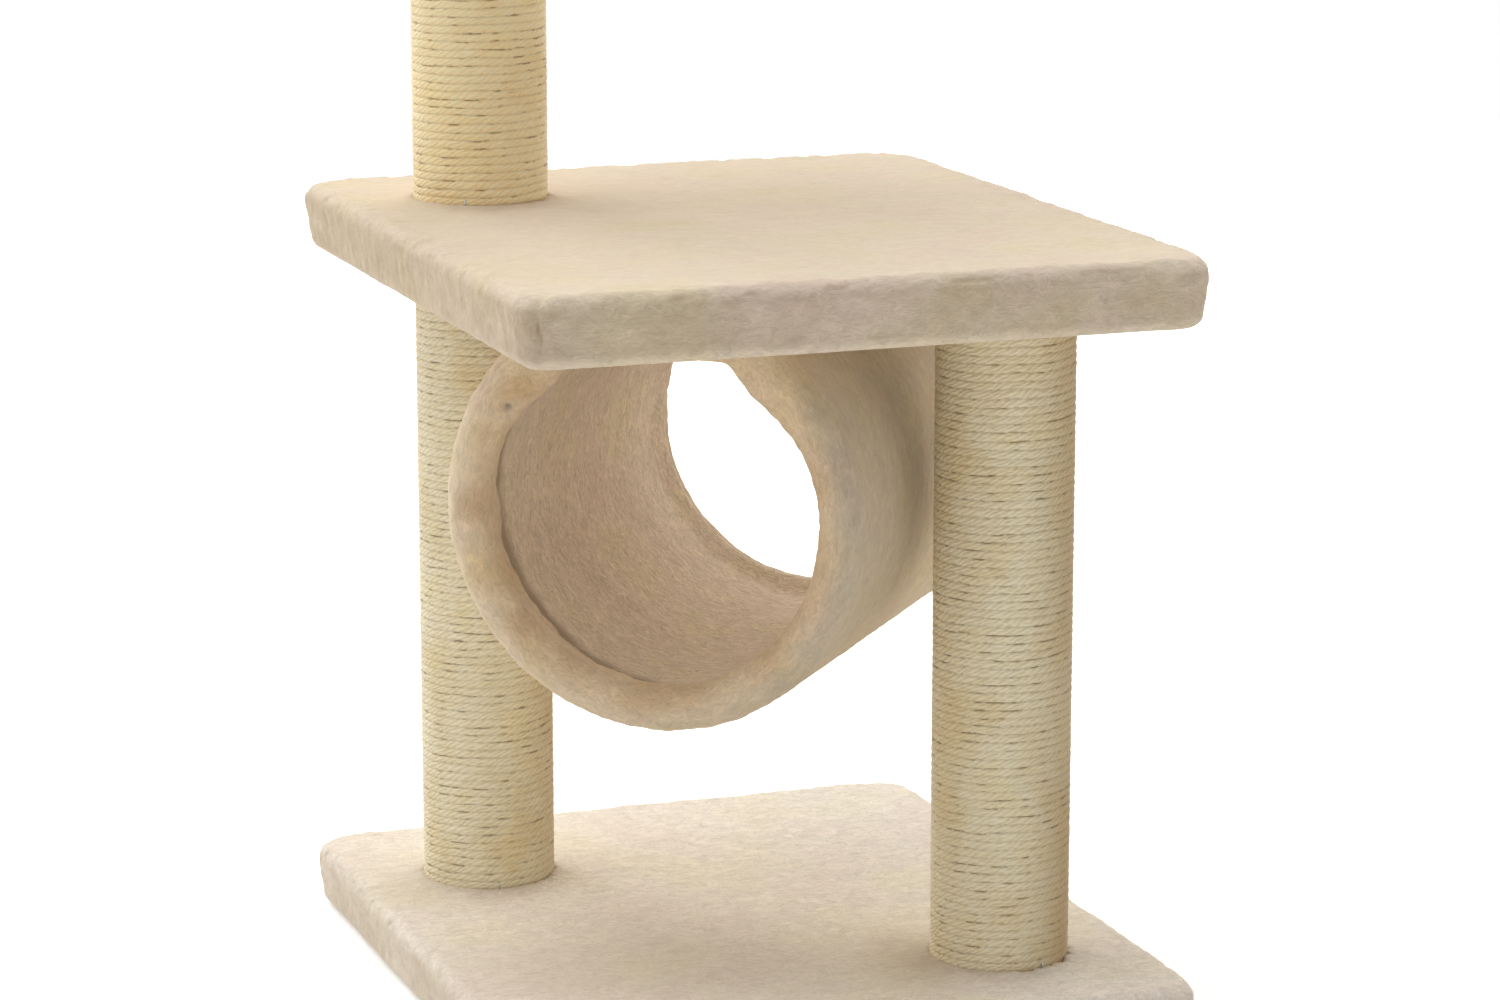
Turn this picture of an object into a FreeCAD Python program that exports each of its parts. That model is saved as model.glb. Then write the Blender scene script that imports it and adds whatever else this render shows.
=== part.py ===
import FreeCAD, Part
import math
import os
from types import SimpleNamespace

import Sketcher

# A cat tree: a plush covered base, two posts wound with sisal rope on one diagonal, a platform
# on them with a lined tunnel slung below on the other diagonal, and a third post with a perch.
# Frame: origin in the middle of the base's underside, +X to the right along the front edge,
# +Y to the back, +Z up. Millimetres and degrees.
dimensions = {
    # covered plates: outer sizes over the plush
    "plate_width": 300.0,
    "plate_depth": 350.0,
    "plate_thickness": 30.0,
    "plate_corner": 16.0,
    "plate_rounding": 6.5,
    "perch_width": 250.0,
    "perch_depth": 250.0,
    "plush_thickness": 3.0,
    "board_easing": 3.5,
    "hem_width": 30.0,
    "hem_corner": 10.0,
    # posts: places of their axes from the middle, sizes, and how deep they sink into the plush
    "left_post_x": -88.0,
    "left_post_y": 88.0,
    "right_post_x": 85.0,
    "right_post_y": -102.0,
    "post_diameter": 60.0,
    "post_length": 282.0,
    "post_seat": 1.5,
    "rope_thickness": 4.0,
    "rope_easing": 1.3,
    "core_wall": 4.0,
    # moulded caps in the ends of the cardboard cores
    "cap_flange": 3.0,
    "cap_depth": 22.0,
    "cap_wall": 2.5,
    "cap_draft": 0.6,
    "boss_diameter": 21.0,
    "boss_height": 16.0,
    # M8 fasteners of the posts
    "thread_diameter": 8.0,
    "clearance_diameter": 9.0,
    "nut_across": 13.0,
    "nut_height": 6.5,
    "bolt_length": 40.0,
    "bolt_head_diameter": 14.0,
    "bolt_head_height": 4.4,
    "bolt_crown_diameter": 8.7,
    "bolt_head_edge": 1.3,
    "bolt_socket": 5.0,
    "bolt_socket_depth": 2.6,
    "counterbore_diameter": 26.0,
    "counterbore_depth": 7.0,
    "washer_diameter": 24.0,
    "washer_thickness": 1.6,
    "long_stud_length": 65.0,
    "short_stud_length": 40.0,
    "thread_end_chamfer": 1.0,
    "tee_flange_diameter": 22.0,
    "tee_flange_thickness": 1.5,
    "tee_barrel_diameter": 10.6,
    "tee_barrel_length": 9.0,
    # tunnel: a tube pressed flat along its top, where it is screwed to the platform
    "tunnel_x": 5.5,
    "tunnel_y": 6.5,
    "tunnel_turn": 49.8,
    "tunnel_length": 228.0,
    "tunnel_radius": 93.5,
    "tunnel_flat": 82.0,
    "tunnel_shoulder": 45.0,
    "tunnel_plush": 4.0,
    "tunnel_core_wall": 6.0,
    "tunnel_wall": 20.0,
    "rim_width": 23.0,
    "rim_padding": 6.0,
    "rim_rounding": 9.4,
    "screw_place": 60.0,
    "screw_diameter": 4.5,
    "screw_clearance": 5.5,
    "screw_length": 35.0,
    "screw_pilot_depth": 18.0,
    "screw_head_diameter": 9.0,
    "screw_head_height": 3.0,
    "screw_crown_diameter": 6.3,
    "screw_head_edge": 1.2,
    "screw_washer_thickness": 1.5,
}

document = FreeCAD.newDocument("CatTree")
sheet = document.addObject("Spreadsheet::Sheet", "Sizes")
for row, (alias, number) in enumerate(dimensions.items(), 1):
    sheet.set(f"A{row}", str(number))
    sheet.setAlias(f"A{row}", alias)
document.recompute()


# A length that carries its number and the formula that binds it to the sheet.
class Length:
    def __init__(self, number, formula):
        self.number = number
        self.formula = formula

    def __add__(self, other):
        other = as_length(other)
        return Length(self.number + other.number, f"({self.formula} + {other.formula})")

    def __sub__(self, other):
        other = as_length(other)
        return Length(self.number - other.number, f"({self.formula} - {other.formula})")

    def __mul__(self, factor):
        return Length(self.number * factor, f"({self.formula} * {factor:.9f})")

    def __truediv__(self, divisor):
        return self * (1.0 / divisor)

    def __neg__(self):
        return self * -1.0


def as_length(value):
    return value if isinstance(value, Length) else Length(float(value), f"{float(value):.9f}")


# Slack when edges are picked and volumes compared, and how far a cut runs past its piece.
slack = 0.01
overrun = Length(1.0, "1.0")

s = SimpleNamespace(**{name: Length(value, f"Sizes.{name}") for name, value in dimensions.items()})
zero = as_length(0)

# Heights that several pieces share.
platform_level = s.plate_thickness + s.post_length
perch_level = platform_level + s.plate_thickness + s.post_length
board_thickness = s.plate_thickness - s.plush_thickness * 2
core_diameter = s.post_diameter - s.rope_thickness * 2
left_post = (s.left_post_x, s.left_post_y)
right_post = (s.right_post_x, s.right_post_y)
tunnel_middle = (s.tunnel_x, s.tunnel_y)
perch_middle = (s.perch_width / 2 - s.plate_width / 2, s.plate_depth / 2 - s.perch_depth / 2)
tunnel_level = platform_level - s.tunnel_flat


def new_body(label, x=zero, y=zero, z=zero, axis=(0, 0, 1), angle=zero):
    body = document.addObject("PartDesign::Body", "Body")
    body.Label = label
    body.Placement = FreeCAD.Placement(
        FreeCAD.Vector(x.number, y.number, z.number),
        FreeCAD.Rotation(FreeCAD.Vector(*axis), angle.number),
    )
    for letter, length in zip("xyz", (x, y, z)):
        body.setExpression(f"Placement.Base.{letter}", length.formula)
    if angle.number:
        body.setExpression("Placement.Rotation.Angle", angle.formula)
    return body


def new_sketch(body, role, lift=zero):
    sketch = body.newObject("Sketcher::SketchObject", "Sketch")
    plane = next(item for item in body.Origin.OriginFeatures if item.Role == role)
    sketch.AttachmentSupport = [(plane, "")]
    sketch.MapMode = "FlatFace"
    if lift.number:
        sketch.setExpression("AttachmentOffset.Base.z", lift.formula)
    return sketch


def bind(sketch, kind, *items):
    index = sketch.addConstraint(Sketcher.Constraint(kind, *items[:-1], items[-1].number))
    sketch.setExpression(f"Constraints[{index}]", items[-1].formula)


def pin_point(sketch, geometry, point, x, y):
    bind(sketch, "DistanceX", -1, 1, geometry, point, x)
    bind(sketch, "DistanceY", -1, 1, geometry, point, y)


def draw_circle(sketch, x, y, radius):
    middle = FreeCAD.Vector(x.number, y.number, 0)
    index = sketch.addGeometry(Part.Circle(middle, FreeCAD.Vector(0, 0, 1), radius.number))
    pin_point(sketch, index, 3, x, y)
    bind(sketch, "Radius", index, radius)


def draw_arc(sketch, x, y, radius, start, end):
    middle = FreeCAD.Vector(x.number, y.number, 0)
    circle = Part.Circle(middle, FreeCAD.Vector(0, 0, 1), radius.number)
    index = sketch.addGeometry(Part.ArcOfCircle(circle, start, end))
    bind(sketch, "Radius", index, radius)
    return index


def draw_polygon(sketch, points):
    corners = [FreeCAD.Vector(x.number, y.number, 0) for x, y in points]
    lines = [
        sketch.addGeometry(Part.LineSegment(corner, following))
        for corner, following in zip(corners, corners[1:] + corners[:1])
    ]
    for line, following in zip(lines, lines[1:] + lines[:1]):
        sketch.addConstraint(Sketcher.Constraint("Coincident", line, 2, following, 1))
    for line, (x, y) in zip(lines, points):
        pin_point(sketch, line, 1, x, y)


# Four corner arcs joined by four tangent lines.
def draw_rounded_rectangle(sketch, width, depth, corner):
    reach_x, reach_y = width / 2 - corner, depth / 2 - corner
    quadrants = [(reach_x, reach_y), (-reach_x, reach_y), (-reach_x, -reach_y), (reach_x, -reach_y)]
    arcs = []
    for turn, (x, y) in enumerate(quadrants):
        start = turn * math.pi / 2
        arcs.append(draw_arc(sketch, x, y, corner, start, start + math.pi / 2))
        pin_point(sketch, arcs[-1], 3, x, y)
    for arc, following in zip(arcs, arcs[1:] + arcs[:1]):
        ends = sketch.getPoint(arc, 2), sketch.getPoint(following, 1)
        line = sketch.addGeometry(Part.LineSegment(*ends))
        sketch.addConstraint(Sketcher.Constraint("Tangent", arc, 2, line, 1))
        sketch.addConstraint(Sketcher.Constraint("Tangent", line, 2, following, 1))


def draw_hexagon(sketch, across):
    corner = across / math.sqrt(3)
    turns = [math.tau * step / 6 for step in range(6)]
    draw_polygon(sketch, [(corner * math.cos(turn), corner * math.sin(turn)) for turn in turns])


# The tunnel's section, set in from its outer surface: an arc about the axis, closed along the
# top by a flat between two tangent shoulders.
def draw_tunnel_section(sketch, inset):
    radius, flat, shoulder = s.tunnel_radius - inset, s.tunnel_flat - inset, s.tunnel_shoulder - inset
    rise = flat.number - shoulder.number
    reach = math.sqrt((radius.number - shoulder.number) ** 2 - rise**2)
    touch = math.atan2(rise, reach)
    bowl = draw_arc(sketch, zero, zero, radius, math.pi - touch, 2 * math.pi + touch)
    right = draw_arc(sketch, as_length(reach), as_length(rise), shoulder, touch, math.pi / 2)
    left = draw_arc(sketch, as_length(-reach), as_length(rise), shoulder, math.pi / 2, math.pi - touch)
    line = sketch.addGeometry(
        Part.LineSegment(FreeCAD.Vector(reach, flat.number, 0), FreeCAD.Vector(-reach, flat.number, 0))
    )
    for first, second in ((bowl, right), (right, line), (line, left), (left, bowl)):
        sketch.addConstraint(Sketcher.Constraint("Tangent", first, 2, second, 1))
    sketch.addConstraint(Sketcher.Constraint("Coincident", bowl, 3, -1, 1))
    sketch.addConstraint(Sketcher.Constraint("Horizontal", line))
    bind(sketch, "DistanceY", -1, 1, line, 1, flat)


def pad(body, sketch, length, midplane=False):
    feature = body.newObject("PartDesign::Pad", "Pad")
    feature.Profile = sketch
    feature.Midplane = midplane
    feature.setExpression("Length", length.formula)
    document.recompute()
    return feature


def pocket(body, sketch, length, upwards=False, midplane=False):
    volume = body.Shape.Volume
    feature = body.newObject("PartDesign::Pocket", "Pocket")
    feature.Profile = sketch
    feature.Midplane = midplane
    feature.Reversed = upwards
    feature.setExpression("Length", length.formula)
    document.recompute()
    if body.Shape.Volume > volume - slack:
        raise ValueError(f"a pocket in {body.Label} cuts nothing")
    return feature


def revolve(body, sketch):
    feature = body.newObject("PartDesign::Revolution", "Revolution")
    feature.Profile = sketch
    feature.ReferenceAxis = (sketch, ["V_Axis"])
    feature.Angle = 360
    document.recompute()
    return feature


def fillet(body, radius, chosen):
    base = body.Tip
    names = [f"Edge{index}" for index, edge in enumerate(base.Shape.Edges, 1) if chosen(edge)]
    feature = body.newObject("PartDesign::Fillet", "Fillet")
    feature.Base = (base, names)
    feature.setExpression("Radius", radius.formula)
    document.recompute()
    return feature


def chamfer(body, size, chosen):
    base = body.Tip
    names = [f"Edge{index}" for index, edge in enumerate(base.Shape.Edges, 1) if chosen(edge)]
    feature = body.newObject("PartDesign::Chamfer", "Chamfer")
    feature.Base = (base, names)
    feature.setExpression("Size", size.formula)
    document.recompute()
    return feature


# Picks the edges that lie flat at one height, further out than a given half width and depth.
def edges_at(height, beyond=(0.0, 0.0)):
    def chosen(edge):
        box = edge.BoundBox
        level = abs(box.ZMin - height.number) < slack and abs(box.ZMax - height.number) < slack
        outside = max(abs(box.XMin), abs(box.XMax)) > beyond[0] and max(
            abs(box.YMin), abs(box.YMax)
        ) > beyond[1]
        return level and outside

    return chosen


# Picks the edges that lie in a plane square to the X axis, at either end.
def edges_at_ends(reach):
    def chosen(edge):
        box = edge.BoundBox
        return box.XLength < slack and abs(abs(box.XMin) - reach.number) < slack

    return chosen


# Round holes of one size, from a height down or up.
def drill(body, places, diameter, level, depth, upwards=False):
    sketch = new_sketch(body, "XY_Plane", level)
    for x, y in places:
        draw_circle(sketch, x, y, diameter / 2)
    pocket(body, sketch, depth, upwards)


# A ring along the Z axis, from z = 0 up.
def make_ring(label, x, y, z, outer, inner, height):
    body = new_body(label, x, y, z)
    sketch = new_sketch(body, "XY_Plane")
    draw_circle(sketch, zero, zero, outer / 2)
    draw_circle(sketch, zero, zero, inner / 2)
    pad(body, sketch, height)
    return body


def relative(place, middle):
    return place[0] - middle[0], place[1] - middle[1]


# The board inside a plate. Its edges are eased so that they don't cut the plush.
def make_board(label, middle, width, depth, level):
    body = new_body(label, middle[0], middle[1], level + s.plush_thickness)
    sketch = new_sketch(body, "XY_Plane")
    inset = s.plush_thickness
    draw_rounded_rectangle(sketch, width - inset * 2, depth - inset * 2, s.plate_corner - inset)
    pad(body, sketch, board_thickness)
    rims = (edges_at(zero), edges_at(board_thickness))
    fillet(body, s.board_easing, lambda edge: any(chosen(edge) for chosen in rims))
    return body


# The plush sleeve of a plate: it goes round the board's edges and is turned under as a hem.
def make_cover(label, middle, width, depth, level):
    body = new_body(label, middle[0], middle[1], level)
    sketch = new_sketch(body, "XY_Plane")
    draw_rounded_rectangle(sketch, width, depth, s.plate_corner)
    pad(body, sketch, s.plate_thickness)
    rims = (edges_at(zero), edges_at(s.plate_thickness))
    fillet(body, s.plate_rounding, lambda edge: any(chosen(edge) for chosen in rims))

    opening = new_sketch(body, "XY_Plane")
    draw_rounded_rectangle(opening, width - s.hem_width * 2, depth - s.hem_width * 2, s.hem_corner)
    pocket(body, opening, s.plush_thickness, upwards=True)

    inset = s.plush_thickness
    recess = new_sketch(body, "XY_Plane", inset)
    draw_rounded_rectangle(recess, width - inset * 2, depth - inset * 2, s.plate_corner - inset)
    pocket(body, recess, board_thickness, upwards=True)
    eased = (edges_at(inset), edges_at(inset + board_thickness))
    outside = s.hem_width - overrun
    half = ((width / 2 - outside).number, (depth / 2 - outside).number)

    def around_board(edge):
        box = edge.BoundBox
        out = max(abs(box.XMin), abs(box.XMax)) > half[0] or max(abs(box.YMin), abs(box.YMax)) > half[1]
        return out and any(chosen(edge) for chosen in eased)

    fillet(body, s.board_easing, around_board)
    return body


# The plush panel that closes a plate's underside inside the hem.
def make_liner(label, middle, width, depth, level):
    body = new_body(label, middle[0], middle[1], level)
    sketch = new_sketch(body, "XY_Plane")
    draw_rounded_rectangle(sketch, width - s.hem_width * 2, depth - s.hem_width * 2, s.hem_corner)
    pad(body, sketch, s.plush_thickness)
    return body


# Where a post stands on a covered plate it presses a shallow seat into the plush.
def press_seat(body, places, level, upwards=False):
    drill(body, places, s.post_diameter, level, s.post_seat, upwards)
    drill(body, places, s.clearance_diameter, level, s.plush_thickness, upwards)


# A recess for the flange of a tee nut in a board's top, and the hole for its barrel.
def drill_for_tee_nut(body, places):
    drill(body, places, s.tee_flange_diameter, board_thickness, s.tee_flange_thickness)
    drill(body, places, s.tee_barrel_diameter, board_thickness, board_thickness)


# A moulded cap: a flange over the core's end, a tapered cup inside it, and a boss whose
# hexagonal pocket holds a nut. Local z = 0 is the outer face of the flange.
def make_cap(label, x, y, z, flipped):
    body = new_body(label, x, y, z, (1, 0, 0), as_length(180) if flipped else zero)
    bore = s.clearance_diameter / 2
    outside = core_diameter / 2
    cup = outside - s.core_wall
    boss = s.boss_diameter / 2
    profile = new_sketch(body, "XZ_Plane")
    points = [
        (bore, zero),
        (outside, zero),
        (outside, s.cap_flange),
        (cup, s.cap_flange),
        (cup - s.cap_draft, s.cap_depth),
        (cup - s.cap_draft - s.cap_wall, s.cap_depth),
        (cup - s.cap_wall, s.cap_flange),
        (boss, s.cap_flange),
        (boss, s.boss_height),
        (bore, s.boss_height),
    ]
    draw_polygon(profile, points)
    revolve(body, profile)
    nut_pocket = new_sketch(body, "XY_Plane", s.boss_height)
    draw_hexagon(nut_pocket, s.nut_across)
    pocket(body, nut_pocket, s.nut_height)


def make_nut(label, x, y, z):
    body = new_body(label, x, y, z)
    sketch = new_sketch(body, "XY_Plane")
    draw_hexagon(sketch, s.nut_across)
    draw_circle(sketch, zero, zero, s.thread_diameter / 2)
    pad(body, sketch, s.nut_height)


# One post: cardboard core, rope sleeve, and at each end a cap with its captive nut.
def make_post(name, place, level):
    x, y = place
    bottom = level - s.post_seat
    length = s.post_length + s.post_seat * 2
    top = bottom + length
    rope = make_ring(f"{name}_rope", x, y, bottom, s.post_diameter, core_diameter, length)
    ends = (edges_at(zero), edges_at(length))
    rim = (core_diameter / 2 + overrun).number
    chamfer(
        rope,
        s.rope_easing,
        lambda edge: edge.BoundBox.XMax > rim and any(chosen(edge) for chosen in ends),
    )
    inside = core_diameter - s.core_wall * 2
    core_length = length - s.cap_flange * 2
    make_ring(f"{name}_core", x, y, bottom + s.cap_flange, core_diameter, inside, core_length)
    make_cap(f"{name}_bottom_cap", x, y, bottom, False)
    make_cap(f"{name}_top_cap", x, y, top, True)
    make_nut(f"{name}_bottom_nut", x, y, bottom + s.boss_height - s.nut_height)
    make_nut(f"{name}_top_nut", x, y, top - s.boss_height)


# A button-head bolt, head down, its shank from local z = 0 up.
def make_bolt(label, x, y, z):
    body = new_body(label, x, y, z)
    shank, head = s.thread_diameter / 2, s.bolt_head_diameter / 2
    profile = new_sketch(body, "XZ_Plane")
    points = [
        (zero, -s.bolt_head_height),
        (s.bolt_crown_diameter / 2, -s.bolt_head_height),
        (head, -s.bolt_head_edge),
        (head, zero),
        (shank, zero),
        (shank, s.bolt_length - s.thread_end_chamfer),
        (shank - s.thread_end_chamfer, s.bolt_length),
        (zero, s.bolt_length),
    ]
    draw_polygon(profile, points)
    revolve(body, profile)
    socket = new_sketch(body, "XY_Plane", -s.bolt_head_height)
    draw_hexagon(socket, s.bolt_socket)
    pocket(body, socket, s.bolt_socket_depth, upwards=True)


def make_stud(label, x, y, z, length):
    body = new_body(label, x, y, z)
    sketch = new_sketch(body, "XY_Plane")
    draw_circle(sketch, zero, zero, s.thread_diameter / 2)
    pad(body, sketch, length)
    ends = (edges_at(zero), edges_at(length))
    chamfer(body, s.thread_end_chamfer, lambda edge: any(chosen(edge) for chosen in ends))


# A tee nut in a board: its flange flush with the board's top, its barrel below.
def make_tee_nut(label, x, y, board_top):
    body = new_body(label, x, y, board_top)
    thread, barrel = s.thread_diameter / 2, s.tee_barrel_diameter / 2
    flange = s.tee_flange_diameter / 2
    foot = -s.tee_flange_thickness - s.tee_barrel_length
    profile = new_sketch(body, "XZ_Plane")
    points = [
        (thread, zero),
        (flange, zero),
        (flange, -s.tee_flange_thickness),
        (barrel, -s.tee_flange_thickness),
        (barrel, foot),
        (thread, foot),
    ]
    draw_polygon(profile, points)
    revolve(body, profile)


# A length of the tunnel's section between two insets, even about the middle.
def make_tunnel_sleeve(label, outer, inner, length):
    body = new_body(label, *tunnel_middle, tunnel_level, angle=s.tunnel_turn)
    sketch = new_sketch(body, "YZ_Plane")
    draw_tunnel_section(sketch, outer)
    draw_tunnel_section(sketch, inner)
    pad(body, sketch, length, midplane=True)
    return body


def cut_tunnel_sleeve(body, outer, inner, length):
    sketch = new_sketch(body, "YZ_Plane")
    draw_tunnel_section(sketch, outer)
    draw_tunnel_section(sketch, inner)
    pocket(body, sketch, length, midplane=True)


core_inset = s.tunnel_plush + s.tunnel_core_wall
lining_inset = core_inset + s.tunnel_plush
return_inset = s.tunnel_wall - s.tunnel_plush
screw_places = [(-s.screw_place, zero), (s.screw_place, zero)]


# Outer plush of the tunnel: it runs along the outside, round both mouths and back inside.
def make_tunnel_cover():
    body = make_tunnel_sleeve("tunnel_cover", zero, s.tunnel_wall, s.tunnel_length)
    fillet(body, s.rim_rounding, edges_at_ends(s.tunnel_length / 2))
    hollow = s.tunnel_length - s.tunnel_plush * 2
    cut_tunnel_sleeve(body, s.tunnel_plush, return_inset, hollow)
    fillet(body, s.rim_rounding - s.tunnel_plush, edges_at_ends(hollow / 2))
    between = s.tunnel_length - s.rim_width * 2
    cut_tunnel_sleeve(body, return_inset - overrun, s.tunnel_wall + overrun, between)
    drill(body, screw_places, s.screw_clearance, s.tunnel_flat, s.tunnel_plush)


# Foam roll of one mouth: inside the core along the rim, and over the core's end.
def make_padding(label, side):
    length = s.rim_width - s.tunnel_plush
    body = new_body(label, *tunnel_middle, tunnel_level, angle=s.tunnel_turn)
    start = s.tunnel_length / 2 - s.rim_width
    sketch = new_sketch(body, "YZ_Plane", start if side > 0 else -start - length)
    draw_tunnel_section(sketch, s.tunnel_plush)
    draw_tunnel_section(sketch, return_inset)
    pad(body, sketch, length)
    mouth = s.tunnel_length / 2 - s.tunnel_plush
    fillet(body, s.rim_rounding - s.tunnel_plush, edges_at_ends(mouth))
    cut_tunnel_sleeve(body, s.tunnel_plush - overrun, core_inset, (mouth - s.rim_padding) * 2)


def make_tunnel():
    make_tunnel_cover()
    core_length = s.tunnel_length - (s.tunnel_plush + s.rim_padding) * 2
    core = make_tunnel_sleeve("tunnel_core", s.tunnel_plush, core_inset, core_length)
    lining_length = s.tunnel_length - s.rim_width * 2
    lining = make_tunnel_sleeve("tunnel_lining", core_inset, lining_inset, lining_length)
    for body in (core, lining):
        drill(body, screw_places, s.screw_clearance, s.tunnel_flat, s.tunnel_wall)
    make_padding("tunnel_front_padding", -1)
    make_padding("tunnel_back_padding", 1)


# Screw places along the tunnel's axis, turned into the frame of the plates.
def turned(place):
    turn = math.radians(s.tunnel_turn.number)
    along = place[0]
    return tunnel_middle[0] + along * math.cos(turn), tunnel_middle[1] + along * math.sin(turn)


# A pan-head screw up through a washer, the tunnel's top and the platform's board.
def make_tunnel_screw(name, place):
    x, y = turned(place)
    washer_top = tunnel_level + s.tunnel_flat - lining_inset
    washer_bottom = washer_top - s.screw_washer_thickness
    make_ring(
        f"{name}_washer",
        x,
        y,
        washer_bottom,
        s.washer_diameter,
        s.screw_clearance,
        s.screw_washer_thickness,
    )
    body = new_body(f"{name}_screw", x, y, washer_bottom)
    shank, head = s.screw_diameter / 2, s.screw_head_diameter / 2
    profile = new_sketch(body, "XZ_Plane")
    points = [
        (zero, -s.screw_head_height),
        (s.screw_crown_diameter / 2, -s.screw_head_height),
        (head, -s.screw_head_edge),
        (head, zero),
        (shank, zero),
        (shank, s.screw_length - s.screw_diameter),
        (zero, s.screw_length),
    ]
    draw_polygon(profile, points)
    revolve(body, profile)


def make_base():
    middle = (zero, zero)
    posts = [left_post, right_post]
    size = (s.plate_width, s.plate_depth)
    board = make_board("base_board", middle, *size, zero)
    drill(board, posts, s.counterbore_diameter, zero, s.counterbore_depth, upwards=True)
    drill(board, posts, s.clearance_diameter, zero, board_thickness, upwards=True)
    cover = make_cover("base_cover", middle, *size, zero)
    press_seat(cover, posts, s.plate_thickness)
    washer_level = s.plush_thickness + s.counterbore_depth - s.washer_thickness
    for name, (x, y) in (("left", left_post), ("right", right_post)):
        make_ring(
            f"base_{name}_washer",
            x,
            y,
            washer_level,
            s.washer_diameter,
            s.clearance_diameter,
            s.washer_thickness,
        )
        make_bolt(f"base_{name}_bolt", x, y, washer_level)


def make_platform():
    middle = (zero, zero)
    posts = [left_post, right_post]
    size = (s.plate_width, s.plate_depth)
    screws = [turned(place) for place in screw_places]
    board_top = platform_level + s.plate_thickness - s.plush_thickness
    board = make_board("platform_board", middle, *size, platform_level)
    drill(board, [left_post], s.clearance_diameter, zero, board_thickness, upwards=True)
    drill_for_tee_nut(board, [right_post])
    drill(board, screws, s.screw_diameter, zero, s.screw_pilot_depth, upwards=True)
    cover = make_cover("platform_cover", middle, *size, platform_level)
    press_seat(cover, [left_post], s.plate_thickness)
    liner = make_liner("platform_liner", middle, *size, platform_level)
    press_seat(liner, posts, zero, upwards=True)
    drill(liner, screws, s.screw_clearance, zero, s.plush_thickness, upwards=True)
    stud_level = platform_level + s.plate_thickness / 2 - s.long_stud_length / 2
    make_stud("platform_long_stud", *left_post, stud_level, s.long_stud_length)
    short_level = board_top - s.tee_flange_thickness - s.short_stud_length
    make_stud("platform_short_stud", *right_post, short_level, s.short_stud_length)
    make_tee_nut("platform_tee_nut", *right_post, board_top)


def make_perch():
    size = (s.perch_width, s.perch_depth)
    post = relative(left_post, perch_middle)
    board_top = perch_level + s.plate_thickness - s.plush_thickness
    board = make_board("perch_board", perch_middle, *size, perch_level)
    drill_for_tee_nut(board, [post])
    make_cover("perch_cover", perch_middle, *size, perch_level)
    liner = make_liner("perch_liner", perch_middle, *size, perch_level)
    press_seat(liner, [post], zero, upwards=True)
    stud_level = board_top - s.tee_flange_thickness - s.short_stud_length
    make_stud("perch_stud", *left_post, stud_level, s.short_stud_length)
    make_tee_nut("perch_tee_nut", *left_post, board_top)


make_base()
make_post("left_post", left_post, s.plate_thickness)
make_post("right_post", right_post, s.plate_thickness)
make_platform()
make_tunnel()
make_tunnel_screw("tunnel_front", screw_places[0])
make_tunnel_screw("tunnel_back", screw_places[1])
make_post("upper_post", left_post, platform_level + s.plate_thickness)
make_perch()
document.recompute()

bodies = [item for item in document.Objects if item.TypeId == "PartDesign::Body"]
for item in document.Objects:
    if "Invalid" in item.State or "Error" in item.State:
        raise RuntimeError(f"{item.Name} in {item.Label} failed: {item.State}")
for body in bodies:
    if body.Shape.isNull() or not body.Shape.isValid() or len(body.Shape.Solids) != 1:
        raise RuntimeError(f"{body.Label} isn't one valid solid")

os.makedirs("parts", exist_ok=True)
for body in bodies:
    body.Shape.exportStep(f"parts/{body.Label}.step")
print(len(bodies), "sub-parts")
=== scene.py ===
import math
from functools import partial

import bpy
import numpy as np
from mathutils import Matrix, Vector


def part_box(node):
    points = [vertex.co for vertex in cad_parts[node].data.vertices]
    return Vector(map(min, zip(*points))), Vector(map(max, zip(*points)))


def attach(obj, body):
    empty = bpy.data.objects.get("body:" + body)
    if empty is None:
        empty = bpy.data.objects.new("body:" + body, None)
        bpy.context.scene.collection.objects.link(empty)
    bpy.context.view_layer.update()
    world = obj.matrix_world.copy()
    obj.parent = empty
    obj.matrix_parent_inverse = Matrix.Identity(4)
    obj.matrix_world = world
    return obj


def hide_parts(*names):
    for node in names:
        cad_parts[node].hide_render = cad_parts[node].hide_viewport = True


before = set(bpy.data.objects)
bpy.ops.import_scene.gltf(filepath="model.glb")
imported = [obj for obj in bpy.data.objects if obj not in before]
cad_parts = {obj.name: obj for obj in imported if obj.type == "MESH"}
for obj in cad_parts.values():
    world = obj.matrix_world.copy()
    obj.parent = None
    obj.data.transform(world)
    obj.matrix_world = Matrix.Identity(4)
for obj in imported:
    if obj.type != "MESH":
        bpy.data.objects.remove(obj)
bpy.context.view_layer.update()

# Cat tree: plush covered base, platform and perch, three posts wound with sisal rope, and a
# plush tunnel with padded rims under the platform. Metres, X right, Y back, Z up.
mm = 0.001


# The size of a node's box, and the middle of its underside.
def boxOf(node):
    low, high = (np.array(corner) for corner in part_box(node))
    return high - low, (low + high) / 2 * [1, 1, 0] + [0, 0, low[2]]


# A smoothstep curve from 0 to 1.
def ease(share):
    return share * share * (3 - 2 * share)


# 1 at zero and falling to nothing on both sides: e to the power of minus the square.
def bell(values):
    return np.exp(-(values**2))


# Values cut off below 0 and above 1.
def fade(values):
    return np.clip(values, 0, 1)


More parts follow.
